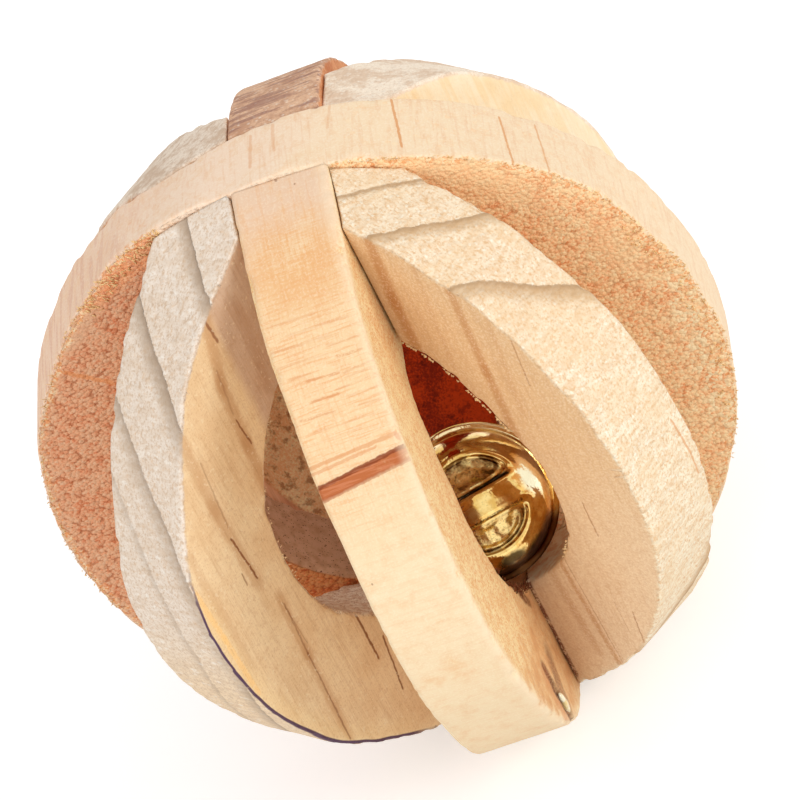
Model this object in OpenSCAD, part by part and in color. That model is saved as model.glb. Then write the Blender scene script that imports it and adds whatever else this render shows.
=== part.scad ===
// Wooden chew and play ball for small pets, with a jingle bell loose inside.
// A full pine ring stands upright across the ball. Three half rings are glued
// to its front face and three to its back face, fanned round one upright axis,
// so that the rims make a ball with windows between them.
// The ball stands on the pole where the rims cross. +Z is the upright axis,
// the front half ring points to -Y, and the origin is on the ground below
// the centre of the full ring. All sizes are in millimetres.

/* [Rings] */
// Radius of the full ring's rim
disc_r = 35; // [33:0.5:42]
// Thickness of the full ring
ring_t = 9.2; // [7:0.1:12]
// Thickness of the board that the half rings are sawn from
board_t = 9.7; // [7:0.1:11]
// Depth by which the half rings' rims are sanded below the full ring's
half_inset = 0.4; // [0:0.1:2]
// The same for the front left half ring, which is sanded down further
worn_inset = 1.5; // [0:0.1:3]
// Radius of the hole saw that opens every ring
hole_r = 18.7; // [16:0.1:20]
// Width of the flat sanded on each rim's edges
edge_break = 0.4; // [0.1:0.1:1]
// Thickness of the glue film in each joint
glue_film = 0.1; // [0.05:0.05:0.3]

/* [Front half ring] */
// Slip of the board to the side before the glue set
front_slip = 1.7; // [-2:0.1:2]
// Height of the rim's centre above the full ring's centre
front_rise = -0.65; // [-1:0.05:1]
// Distance of the hole's centre in front of the upright axis
front_hole_out = 2.5; // [0:0.1:5]
// Height of the hole's centre above the full ring's centre
front_hole_rise = -1.8; // [-2:0.1:2]

/* [Front left half ring] */
// Angle from the front half ring
front_left_angle = -42; // [-50:1:-38]
// Slip of the board to the side
front_left_slip = -0.7; // [-2:0.1:2]
// Shift of the rim's centre away from the upright axis
front_left_out = 0.6; // [-1:0.1:1.5]
// Height of the rim's centre above the full ring's centre
front_left_rise = 0.3; // [-1:0.1:1]
// Distance of the hole's centre from the upright axis
front_left_hole_out = 3.3; // [0:0.1:5]
// Height of the hole's centre above the full ring's centre
front_left_hole_rise = 0.8; // [-2:0.1:2]

/* [Front right half ring] */
// Angle from the front half ring
front_right_angle = 50; // [40:1:52]
// Slip of the board to the side
front_right_slip = 0.3; // [-2:0.1:2]
// Shift of the rim's centre away from the upright axis
front_right_out = 0.5; // [-1:0.1:1.5]
// Height of the rim's centre above the full ring's centre
front_right_rise = -0.3; // [-1:0.1:1]
// Distance of the hole's centre from the upright axis
front_right_hole_out = 4.9; // [0:0.1:5]
// Height of the hole's centre above the full ring's centre
front_right_hole_rise = -1.2; // [-2:0.1:2]
// Open gap along the front half ring, where the glue didn't fill the mitre
open_mitre = 0.4; // [0.1:0.1:0.8]

/* [Rear half ring] */
// Slip of the board to the side
rear_slip = -2; // [-2.5:0.1:2]
// Height of the rim's centre above the full ring's centre
rear_rise = -0.4; // [-1:0.1:1]
// Distance of the hole's centre behind the upright axis
rear_hole_out = 2.5; // [0:0.1:5]

/* [Rear left half ring] */
// Angle from the rear half ring
rear_left_angle = 51; // [40:1:52]
// Slip of the board to the side
rear_left_slip = -1; // [-2:0.1:2]
// Shift of the rim's centre away from the upright axis
rear_left_out = -1; // [-1.5:0.1:1.5]
// Distance of the hole's centre from the upright axis
rear_left_hole_out = 3.5; // [0:0.1:5]

/* [Rear right half ring] */
// Angle from the rear half ring
rear_right_angle = -45; // [-50:1:-40]
// Slip of the board to the side
rear_right_slip = -0.4; // [-2:0.1:2]
// Shift of the rim's centre away from the upright axis
rear_right_out = 0.7; // [-1:0.1:1.5]
// Height of the rim's centre above the full ring's centre
rear_right_rise = -0.5; // [-1:0.1:1]
// Distance of the hole's centre from the upright axis
rear_right_hole_out = 3.3; // [0:0.1:5]

/* [Bell] */
// Radius of the bell's round shell
bell_r = 7.5; // [6:0.1:8]
// Thickness of the bell's sheet brass
bell_wall = 0.4; // [0.3:0.05:0.6]
// Width of the crimped flange outside the shell
flange_w = 0.7; // [0.4:0.1:1]
// Thickness of each shell's flange
flange_t = 0.4; // [0.3:0.05:0.6]
// Radius of the dish pressed into the top shell under the bridge
dish_r = 5.1; // [4:0.1:5.6]
// Depth of the dish below its own lip
dish_depth = 1.3; // [0.6:0.1:1.6]
// Radius of the rolled lip round the dish
lip_r = 0.4; // [0.3:0.05:0.5]
// Width of the bridge that a cord would go under
bridge_w = 2.6; // [1.8:0.1:3.2]
// Width of the sound slot in the lower shell
slot_w = 1.2; // [0.8:0.1:2]
// Distance between the round ends of the sound slot
slot_length = 6.4; // [5:0.1:8]
// Radius of the sound slot's round ends
slot_end_r = 1.1; // [0.8:0.1:1.4]
// Radius of the steel pellet
pellet_r = 2; // [1.5:0.1:2.5]
// Angle of the bell's axis round the upright axis
bell_turn = -77; // [-110:1:-60]
// Angle of the bell's axis above level
bell_lift = 37; // [20:1:60]
// Turn of the bridge round the bell's own axis
bell_spin = 2; // [-30:1:30]
// Direction in which the bell has rolled, round the upright axis
bell_side = -53; // [-70:1:-40]
// Angle by which that direction dips below level
bell_dip = 49; // [35:1:60]
// Gap between the bell and the wood that it lies against
bell_gap = 0.2; // [0.1:0.05:0.4]

/* [Split and glue bead] */
// Width of the split in the front half ring's right side, near the foot
split_w = 0.9; // [0.6:0.1:1.4]
// Depth of the split into the board
split_depth = 0.8; // [0.7:0.1:1.6]
// Distance of the split's upper end in front of the upright axis
split_out = 20; // [16:0.5:22]
// Depth of the split's upper end below the full ring's centre
split_drop = 24; // [20:0.5:26]
// Lean of the split, its lower end nearer to the axis
split_lean = 13; // [5:1:20]
// Distance along the split from its upper end to the bead of glue
bead_drop = 3.4; // [2:0.1:6]
// Length of the bead between the centres of its round ends
bead_length = 1.8; // [1:0.1:3]
// Gap between the bead and the sides of the split
bead_gap = 0.05; // [0.05:0.01:0.1]

/* [Hidden] */

$fn = 96;
centre_z = disc_r;                    // the full ring stands on its rim
reach = 2 * disc_r;                   // longer than any cut through the ball
half_r = disc_r - half_inset;
worn_half_r = disc_r - worn_inset;
front_az = -90;                       // azimuth of the front half ring
rear_az = 90;                         // azimuth of the rear half ring
flange_r = bell_r + flange_w;
bead_r = split_w / 2 - bead_gap;
pine = [0.95, 0.80, 0.62];
pine_grey = [0.88, 0.80, 0.70];
pine_red = [0.84, 0.62, 0.46];
heartwood = [0.72, 0.50, 0.38];
brass = [0.83, 0.62, 0.25];
steel = [0.66, 0.67, 0.69];
glue = [0.93, 0.88, 0.74];

// Every ring as [azimuth, slip, thickness, hole out, hole rise], for the bell's seat
RINGS = [
    [0, 0, ring_t, 0, 0],
    [front_az, front_slip, board_t, front_hole_out, front_hole_rise],
    [front_az + front_left_angle, front_left_slip, board_t, front_left_hole_out, front_left_hole_rise],
    [front_az + front_right_angle, front_right_slip, board_t, front_right_hole_out, front_right_hole_rise]
];

// ---- wood ----------------------------------------------------------------

// Turns a shape from the board's own axes, X along the board and Z up its face,
// to its place in the fan: the azimuth, with the slip square to the board
module at_azimuth(azimuth, slip) {
    translate([0, 0, centre_z]) rotate([0, 0, azimuth]) translate([0, slip, 0]) children();
}

// A round board of radius r with its edges broken, upright in the XZ plane
module disc(r, t, out, rise) {
    translate([out, 0, rise]) rotate([90, 0, 0])
        rotate_extrude(convexity = 4)
            polygon([[0, -t / 2], [r - edge_break, -t / 2], [r, edge_break - t / 2],
                     [r, t / 2 - edge_break], [r - edge_break, t / 2], [0, t / 2]]);
}

// The hole saw's cut, square through the board
module saw_cut(t, out, rise) {
    translate([out, 0, rise]) rotate([90, 0, 0]) cylinder(r = hole_r, h = 2 * t, center = true);
}

// Half of a holed disc, as glued to the full ring's face
module half_ring(azimuth, slip, r, out, rise, hole_out, hole_rise) {
    difference() {
        at_azimuth(azimuth, slip) difference() {
            disc(r, board_t, out, rise);
            saw_cut(board_t, hole_out, hole_rise);
        }
        behind_face(azimuth);
    }
}

// Everything on the far side of the full ring's face, glue film included
module behind_face(azimuth) {
    face = ring_t / 2 + glue_film;
    translate([-reach, azimuth < 0 ? -face : face - 2 * reach, centre_z - reach])
        cube([2 * reach, 2 * reach, 2 * reach]);
}

// Everything on one side of the middle half ring's side face: side is 1 to
// leave what lies at larger azimuth, -1 to leave what lies at smaller azimuth
module across_side(azimuth, slip, side, gap) {
    keep = board_t / 2 + gap;
    at_azimuth(azimuth, slip)
        translate([-reach, side > 0 ? keep - 2 * reach : -keep, -reach])
            cube([2 * reach, 2 * reach, 2 * reach]);
}

module full_ring() {
    color(pine) at_azimuth(0, 0) difference() {
        disc(disc_r, ring_t, 0, 0);
        saw_cut(ring_t, 0, 0);
    }
}

// Places a shape at the upper end of the split, on the front half ring's right
// side, with -Z running down the split and +X out of the board
module at_split() {
    translate([front_slip + board_t / 2, -split_out, centre_z - split_drop])
        rotate([split_lean, 0, 0]) children();
}

module front_half_ring() {
    color(pine) difference() {
        half_ring(front_az, front_slip, half_r, 0, front_rise, front_hole_out, front_hole_rise);
        at_split() translate([-split_depth, -split_w / 2, -disc_r])
            cube([2 * split_depth, split_w, disc_r]);
    }
}

module front_left_half_ring() {
    color(pine_grey) difference() {
        half_ring(front_az + front_left_angle, front_left_slip, worn_half_r, front_left_out,
                  front_left_rise, front_left_hole_out, front_left_hole_rise);
        across_side(front_az, front_slip, -1, glue_film);
    }
}

module front_right_half_ring() {
    color(pine) difference() {
        half_ring(front_az + front_right_angle, front_right_slip, half_r, front_right_out,
                  front_right_rise, front_right_hole_out, front_right_hole_rise);
        across_side(front_az, front_slip, 1, open_mitre);
    }
}

module rear_half_ring() {
    color(heartwood)
        half_ring(rear_az, rear_slip, half_r, 0, rear_rise, rear_hole_out, 0);
}

module rear_left_half_ring() {
    color(pine_red) difference() {
        half_ring(rear_az + rear_left_angle, rear_left_slip, half_r, rear_left_out, 0,
                  rear_left_hole_out, 0);
        across_side(rear_az, rear_slip, 1, glue_film);
    }
}

module rear_right_half_ring() {
    color(pine_grey) difference() {
        half_ring(rear_az + rear_right_angle, rear_right_slip, half_r, rear_right_out,
                  rear_right_rise, rear_right_hole_out, 0);
        across_side(rear_az, rear_slip, -1, glue_film);
    }
}

// ---- bell ----------------------------------------------------------------

// Unit vector for an azimuth and an angle above level
function aim(azimuth, lift) =
    [cos(azimuth) * cos(lift), sin(azimuth) * cos(lift), sin(lift)];

// Room between a point and the wood of one ring, with the point inside its hole:
// across the hole where the point is within the board, and to the hole's edge
// where it is beside the board
function hole_room(p, ring) =
    let (along = p * aim(ring[0], 0),
         across = abs(p * aim(ring[0] + 90, 0) - ring[1]) - ring[2] / 2,
         in_hole = hole_r - norm([along - ring[3], p[2] - ring[4]]))
    across > 0 ? norm([max(in_hole, 0), across]) : in_hole;

// Points round the edge of the bell's flange, seen from the bell's centre
flange_edge = let (across = aim(bell_turn + 90, 0), up = cross(aim(bell_turn, bell_lift), across))
    [for (a = [0:10:350]) flange_r * (cos(a) * across + sin(a) * up)];

// Room between the bell and the wood, with the bell's centre at a point: the
// round shell or the edge of the flange comes nearer
function bell_room(p) =
    min([for (ring = RINGS)
        min(hole_room(p, ring) - bell_r, min([for (edge = flange_edge) hole_room(p + edge, ring)]))]);

// Distance from the ball's centre at which the bell, rolling to its side, meets
// the first ring, found by halving
function roll(near, far, steps) =
    let (middle = (near + far) / 2, room = bell_room(middle * aim(bell_side, -bell_dip)))
    steps == 0 ? near : room > bell_gap ? roll(middle, far, steps - 1) : roll(near, middle, steps - 1);

bell_centre = [0, 0, centre_z] + roll(0, hole_r, 20) * aim(bell_side, -bell_dip);
dish_z = sqrt(bell_r * bell_r - dish_r * dish_r);          // height of the dish's lip
dish_curve = (dish_r * dish_r + dish_depth * dish_depth) / (2 * dish_depth);

module at_bell() {
    translate(bell_centre) rotate([0, 90 - bell_lift, bell_turn]) rotate([0, 0, bell_spin]) children();
}

// Half outline of a spun hemisphere of sheet brass with its flange, above Z = 0
module shell_outline() {
    intersection() {
        union() {
            difference() {
                circle(r = bell_r);
                circle(r = bell_r - bell_wall);
            }
            translate([bell_r - bell_wall, 0]) square([bell_wall + flange_w, flange_t]);
        }
        square([2 * bell_r, 2 * bell_r]);
    }
}

// Half outline of the dish, a shallow bowl of sheet that hangs from its lip
module dish_outline() {
    intersection() {
        translate([0, dish_z + dish_curve - dish_depth]) difference() {
            circle(r = dish_curve + bell_wall);
            circle(r = dish_curve);
        }
        square([dish_r, dish_z + lip_r]);
    }
}

// Upper half: hemisphere, dish with a rolled lip, and the bridge left across it
module bell_bridge_shell() {
    color(brass) at_bell() {
        rotate_extrude(convexity = 8) {
            difference() {
                shell_outline();
                square([dish_r, 2 * bell_r]);
            }
            dish_outline();
            translate([dish_r, dish_z - bell_wall / 2]) circle(r = lip_r, $fn = 32);
        }
        intersection() {
            difference() {
                sphere(r = bell_r);
                sphere(r = bell_r - bell_wall);
            }
            translate([-bridge_w / 2, -dish_r - lip_r, dish_z - bell_wall])
                cube([bridge_w, 2 * (dish_r + lip_r), bell_r]);
        }
    }
}

// Lower half: hemisphere with a straight sound slot that ends in two round holes
module bell_slot_shell() {
    color(brass) at_bell() mirror([0, 0, 1]) difference() {
        rotate_extrude(convexity = 8) shell_outline();
        translate([-slot_w / 2, -slot_length / 2, 0]) cube([slot_w, slot_length, 2 * bell_r]);
        for (end = [-1, 1])
            translate([0, end * slot_length / 2, 0]) cylinder(r = slot_end_r, h = 2 * bell_r, $fn = 32);
    }
}

// Steel pellet, at the lowest place inside the bell
module bell_pellet() {
    color(steel)
        translate(bell_centre - [0, 0, bell_r - bell_wall - pellet_r - bell_gap])
            sphere(r = pellet_r);
}

// ---- glue ----------------------------------------------------------------

// Bead of glue that fills the split to the board's side
module glue_bead() {
    color(glue) at_split() translate([bead_r - split_depth + bead_gap, 0, -bead_drop]) {
        translate([0, 0, -bead_length]) cylinder(r = bead_r, h = bead_length, $fn = 32);
        for (z = [0, -bead_length]) translate([0, 0, z]) sphere(r = bead_r, $fn = 32);
    }
}

full_ring();
front_half_ring();
front_left_half_ring();
front_right_half_ring();
rear_half_ring();
rear_left_half_ring();
rear_right_half_ring();
bell_bridge_shell();
bell_slot_shell();
bell_pellet();
glue_bead();
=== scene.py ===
import math

import bpy
import numpy as np
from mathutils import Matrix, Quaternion, Vector


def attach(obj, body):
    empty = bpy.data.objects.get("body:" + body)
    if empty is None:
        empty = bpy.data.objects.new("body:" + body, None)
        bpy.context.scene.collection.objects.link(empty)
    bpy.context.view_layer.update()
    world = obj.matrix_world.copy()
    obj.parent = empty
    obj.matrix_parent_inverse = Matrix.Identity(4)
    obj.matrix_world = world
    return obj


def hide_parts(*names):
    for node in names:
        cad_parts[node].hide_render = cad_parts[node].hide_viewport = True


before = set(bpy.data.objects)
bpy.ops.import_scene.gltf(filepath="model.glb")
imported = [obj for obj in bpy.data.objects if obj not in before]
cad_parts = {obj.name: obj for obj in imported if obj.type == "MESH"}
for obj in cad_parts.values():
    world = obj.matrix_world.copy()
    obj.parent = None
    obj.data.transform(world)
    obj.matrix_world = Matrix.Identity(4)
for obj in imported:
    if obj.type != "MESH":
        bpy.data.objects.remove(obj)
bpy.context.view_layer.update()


# ---- Camera -------------------------------------------------------------
# The ball is seen from above its front, past the front half ring, with the
# camera rolled so that the rings' common axis leans to the left.

ball_centre = Vector((0.0, 0.0, 0.035))
camera_place = Vector((0.11600, -0.49877, 0.42488))
camera_aim = Vector((0.00146, 0.00031, 0.03497))
camera_roll = math.radians(-27.68)

camera_data = bpy.data.cameras.new("camera")
camera_data.lens = 288.4
camera_data.sensor_width = 36.0
camera = bpy.data.objects.new("camera", camera_data)
camera.rotation_mode = "QUATERNION"
camera.location = camera_place
level_view = (camera_aim - camera_place).to_track_quat("-Z", "Y")
camera.rotation_quaternion = level_view @ Quaternion((0.0, 0.0, 1.0), camera_roll)
bpy.context.collection.objects.link(camera)
bpy.context.scene.camera = camera


# ---- Floor and light ----------------------------------------------------
# A plain white table under a large soft lamp from the upper left, a weaker
# one from the right and an even white room.

def shown_colour(red, green, blue):
    """Colour for a socket, from the 0 to 255 values that a screen shows."""
    shown = np.array((red, green, blue)) / 255.0
    linear = np.where(shown <= 0.04045, shown / 12.92, ((shown + 0.055) / 1.055) ** 2.4)
    return (*linear.tolist(), 1.0)


class Wire:
    """One socket of a material. Sums and products of wires add Math nodes."""

    def __init__(self, tree, socket=None):
        self.tree = tree
        self.socket = socket

    def node(self, kind, inputs=None, out=0, stops=(), **settings):
        """Adds a node. Inputs maps sockets, by name or number, to values or wires. A colour of
        three numbers is one that a screen shows, from 0 to 255. Stops are the pairs of place
        and colour of a ramp."""
        made = self.tree.nodes.new("ShaderNode" + kind)
        for name, value in settings.items():
            setattr(made, name, value)
        if stops:
            elements = made.color_ramp.elements
            while len(elements) < len(stops):
                elements.new(0.5)
            for element, (place, colour) in zip(elements, stops):
                element.position = place
                element.color = shown_colour(*colour)
        for key, value in (inputs or {}).items():
            socket = made.inputs[key]
            if isinstance(value, Wire):
                self.tree.links.new(value.socket, socket)
            elif socket.type == "RGBA" and len(value) == 3:
                socket.default_value = shown_colour(*value)
            else:
                socket.default_value = value
        return Wire(self.tree, made.outputs[out])

    def other(self, out):
        """Another output of the same node."""
        return Wire(self.tree, self.socket.node.outputs[out])

    def math(self, operation, *values, clamp=False):
        return self.node("Math", dict(enumerate(values)), operation=operation, use_clamp=clamp)

    def vector(self, operation, *values, out=0):
        return self.node("VectorMath", dict(enumerate(values)), out, operation=operation)

    __add__ = lambda self, other: self.math("ADD", self, other)
    __sub__ = lambda self, other: self.math("SUBTRACT", self, other)
    __rsub__ = lambda self, other: self.math("SUBTRACT", other, self)
    __mul__ = lambda self, other: self.math("MULTIPLY", self, other)
    __abs__ = lambda self: self.math("ABSOLUTE", self)

    def clamped(self):
        return self.math("ADD", self, 0.0, clamp=True)

    def rise(self, low, high):
        """Smooth step: 0 up to low, 1 from high on, and the other way if low is larger."""
        return self.node("MapRange", {"Value": self, "From Min": low, "From Max": high},
                         interpolation_type="SMOOTHSTEP")

    def blend(self, first, second):
        """Colour between first and second, with this wire as the share of the second."""
        return self.node("Mix", {0: self, 6: first, 7: second}, 2, data_type="RGBA")

    def paint(self, *coats):
        """This colour under coats of paint, one over the other. A coat is its share, from 0 to
        1, and its colour."""
        colour = self
        for share, coat in coats:
            colour = share.blend(colour, coat)
        return colour

    def tint(self, colour, share=1.0):
        """This colour multiplied by another, by the share given."""
        return self.node("Mix", {0: share, 6: self, 7: colour}, 2,
                         data_type="RGBA", blend_type="MULTIPLY")


def new_material(name):
    """Empty material and a wire to build on."""
    made = bpy.data.materials.new(name)
    made.use_nodes = True
    made.node_tree.nodes.clear()
    return made, Wire(made.node_tree)


def finish_material(made, surface):
    """Ends a material with the wire of its surface."""
    output = made.node_tree.nodes.new("ShaderNodeOutputMaterial")
    made.node_tree.links.new(surface.socket, output.inputs["Surface"])


def looked_at(wire):
    """1 for what the camera sees, also in a mirror or through glass, and 0 for what lights."""
    path = wire.node("LightPath", out="Is Camera Ray")
    mirrored = path.math("MAXIMUM", path.other("Is Glossy Ray"), path.other("Is Transmission Ray"))
    return path.math("MAXIMUM", path, mirrored)


white = (1.0, 1.0, 1.0, 1.0)
table_material, wire = new_material("white_table")
paper = wire.node("BsdfDiffuse", {"Color": (0.86, 0.86, 0.86, 1.0)})
lit_paper = wire.node("Emission", {"Color": white, "Strength": 0.36})
bright_paper = wire.node("AddShader", {0: paper, 1: lit_paper})
finish_material(table_material, wire.node("MixShader", {
    0: looked_at(wire), 1: paper, 2: bright_paper}))

table_half = 3.0
table_mesh = bpy.data.meshes.new("table")
table_mesh.from_pydata([(x * table_half, y * table_half, 0.0)
                        for x, y in ((-1, -1), (1, -1), (1, 1), (-1, 1))], [], [(0, 1, 2, 3)])
table_mesh.materials.append(table_material)
table = bpy.data.objects.new("table", table_mesh)
bpy.context.collection.objects.link(table)

world = bpy.data.worlds.new("room")
bpy.context.scene.world = world
world.use_nodes = True
world.node_tree.nodes.clear()
room = Wire(world.node_tree)
room_dim = 0.78
room_light = room.node("Background", {
    "Color": white, "Strength": looked_at(room) * (1.0 - room_dim) + room_dim})
room_out = world.node_tree.nodes.new("ShaderNodeOutputWorld")
world.node_tree.links.new(room_light.socket, room_out.inputs["Surface"])
bpy.context.scene.view_settings.view_transform = "Standard"


def soft_lamp(name, place, size, power):
    """Square area lamp aimed at the ball's centre."""
    lamp_data = bpy.data.lights.new(name, "AREA")
    lamp_data.size = size
    lamp_data.energy = power
    lamp = bpy.data.objects.new(name, lamp_data)
    lamp.location = place
    lamp.rotation_mode = "QUATERNION"
    lamp.rotation_quaternion = (ball_centre - Vector(place)).to_track_quat("-Z", "Y")
    bpy.context.collection.objects.link(lamp)


soft_lamp("key_lamp", (1.05, -0.55, 0.60), 0.50, 4.8)
soft_lamp("fill_lamp", (-0.45, -1.15, 0.55), 0.70, 4.0)


# ---- Full ring ----------------------------------------------------------
# A slice of a pine post, sawn across the grain and opened with a hole saw.
# Its rim is sanded smooth and shows the grain end to end. Its two faces are
# rough end grain, and the six half rings are glued to them.

middle_rise = 35.0          # height of the ball's middle over the table, in mm
hole_radius = 18.7
board_thickness = 9.7       # of the half rings
board_depth = 16.3          # from the rim to the hole, on average
spike_points = 7            # of each torn splinter


def lumps(points, size, seed):
    """Smooth random bumps from -1 to 1: random values on a cubic lattice with the given
    spacing, blended by the smooth step of the place within each cell. Large primes scatter
    the lattice's cells over a table of values."""
    primes = np.array([73856093, 19349663, 83492791])
    table = np.random.default_rng(seed).uniform(-1.0, 1.0, 8192)
    cell = points / size + 512.0
    low = np.floor(cell).astype(np.int64)
    share = cell - low
    share = share * share * (3.0 - 2.0 * share)
    total = np.zeros(points.shape[:-1])
    for corner in range(8):
        step = np.array([corner & 1, corner >> 1 & 1, corner >> 2 & 1])
        key = (low + step) * primes
        value = table[(key[..., 0] ^ key[..., 1] ^ key[..., 2]) % len(table)]
        weight = np.where(step == 1, share, 1.0 - share).prod(axis=-1)
        total += weight * value
    return total


def spread(values, low, high):
    """Smooth step of an array from low to high."""
    share = np.clip((values - low) / (high - low), 0.0, 1.0)
    return share * share * (3.0 - 2.0 * share)


def hand_curve(angle, curve):
    """How far a hand-sanded edge stands off its circle, in millimetres, round the ring: a smooth
    cubic through a curve's {degrees: millimetres}, closed over the full turn."""
    if not curve:
        return np.zeros_like(angle)
    knots = np.array([(turn + place, height) for turn in (-360.0, 0.0, 360.0)
                      for place, height in curve.items()])
    at, height = knots.T
    slope = np.gradient(height, at)
    degrees = (np.degrees(angle) + 180.0) % 360.0 - 180.0
    left = np.clip(np.searchsorted(at, degrees) - 1, 0, len(at) - 2)
    width = at[left + 1] - at[left]
    t = (degrees - at[left]) / width
    stay = (1.0 + 2.0 * t) * (1.0 - t) ** 2
    bend = width * t * (1.0 - t) * (slope[left] * (1.0 - t) - slope[left + 1] * t)
    return height[left] * stay + height[left + 1] * (1.0 - stay) + bend


def section_path(across_count, down_count, corner):
    """Walk round a board's section: along the rim, down one face, back along the hole and up
    the other face. Each place is a share of the thickness from -1 to 1, a share of the depth
    from 0 at the rim to 1 at the hole, and how far, in corner radii, a rounded corner pulls
    it along both. The places near a corner lie closer together."""
    def stations(count, length):
        inner = np.linspace(corner, length - corner, count - 6)
        ends = corner * np.array([0.0, 1 / 3, 2 / 3])
        return np.concatenate([ends, inner, length - ends[::-1]])

    pieces = []
    for side in range(4):
        count, length = ((across_count, board_thickness), (down_count, board_depth))[side % 2]
        walk = stations(count, length)
        near = np.minimum(walk, length - walk) / corner
        angle = math.pi / 4 * (1.0 - np.minimum(near, 1.0))
        pull = np.where(near < 1.0, np.sin(angle) - 1.0, 0.0)
        sink = np.where(near < 1.0, 1.0 - np.cos(angle), 0.0)
        straight = (walk - corner) / (length - 2 * corner)
        share = np.where(near < 1.0, np.round(walk / length), straight)
        run = 2.0 * share - 1.0
        end = np.where(near < 1.0, pull * np.sign(run), -run)
        zero = 0 * run
        rows = ((run, zero, end, sink), (1 + zero, share, -sink, end),
                (-run, 1 + zero, -end, -sink), (-1 + zero, 1 - share, sink, -end))[side]
        pieces.append(np.stack(rows)[:, :-1])
    return np.concatenate(pieces, axis=1)


def lay_mesh(name, points, faces, notes, material, nodes):
    """Puts a piece into the scene. Points are in millimetres, and faces are arrays of corner
    numbers, each with one width. Notes are vectors by name, one for each point, that the
    material reads."""
    widths = np.concatenate([np.full(len(group), group.shape[1]) for group in faces])
    corners = np.concatenate([group.ravel() for group in faces])
    mesh = bpy.data.meshes.new(name)
    mesh.vertices.add(len(points))
    mesh.vertices.foreach_set("co", (points / 1000.0).astype(np.float32).ravel())
    mesh.loops.add(len(corners))
    mesh.loops.foreach_set("vertex_index", corners.astype(np.int32))
    mesh.polygons.add(len(widths))
    starts = np.concatenate([[0], np.cumsum(widths)[:-1]])
    mesh.polygons.foreach_set("loop_start", starts.astype(np.int32))
    mesh.polygons.foreach_set("loop_total", widths.astype(np.int32))
    mesh.polygons.foreach_set("use_smooth", np.ones(len(widths), dtype=bool))
    mesh.update(calc_edges=True)
    for label, values in notes.items():
        layer = mesh.attributes.new(label, "FLOAT_VECTOR", "POINT")
        layer.data.foreach_set("vector", values.astype(np.float32).ravel())
    mesh.validate()
    mesh.materials.append(material)
    piece = bpy.data.objects.new(name, mesh)
    bpy.context.collection.objects.link(piece)
    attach(piece, "root")
    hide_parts(*nodes)


def grid_faces(index):
    """Faces between the rows and columns of a grid of point numbers."""
    return np.stack([index[:-1, :-1], index[1:, :-1], index[1:, 1:], index[:-1, 1:]],
                    -1).reshape(-1, 4)


def round_faces(rows, columns):
    """Faces of a round grid whose rows close on themselves, with a fan at each end to a pole:
    the two poles are numbered after the grid."""
    index = np.arange(rows * columns).reshape(rows, columns)
    index = np.concatenate([index, index[:, :1]], axis=1)
    pole = rows * columns + np.zeros(columns, dtype=np.int64)
    return [grid_faces(index), np.stack([pole, index[0, :-1], index[0, 1:]], -1),
            np.stack([pole + 1, index[-1, 1:], index[-1, :-1]], -1)]


def torn_fibres(root, heading, broad, length, width, rng):
    """Torn splinters of wood. Each is a closed spike of three sides: a ring of three points just
    under its root, a smaller ring 0.55 of the way along it, and a tip that bends aside. Returns
    the points, spike_points to a splinter, and the faces. The vectors are one to a row."""
    first = broad - heading * (broad * heading).sum(-1, keepdims=True)
    first = first / np.linalg.norm(first, axis=-1, keepdims=True)
    second = np.cross(heading, first)
    bend = rng.uniform(-0.3, 0.3, (len(root), 2)) * length[:, None]
    bend = first * bend[:, :1] + second * bend[:, 1:]
    points = []
    for reach, grown in ((-0.08, 1.0), (0.55, 0.6)):
        centre = root + heading * (length * reach)[:, None] + bend * reach ** 2
        for turn in np.radians([0.0, 120.0, 240.0]):
            off = first * math.cos(turn) + second * (0.5 * math.sin(turn))
            points.append(centre + off * (width * grown)[:, None])
    points.append(root + heading * length[:, None] + bend)
    start = spike_points * np.arange(len(root))[:, None, None]
    sides = start + np.array([[0, 1, 4, 3], [1, 2, 5, 4], [2, 0, 3, 5]])
    ends = start + np.array([[3, 4, 6], [4, 5, 6], [5, 3, 6], [2, 1, 0]])
    return np.stack(points, 1).reshape(-1, 3), sides.reshape(-1, 4), ends.reshape(-1, 3)


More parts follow.
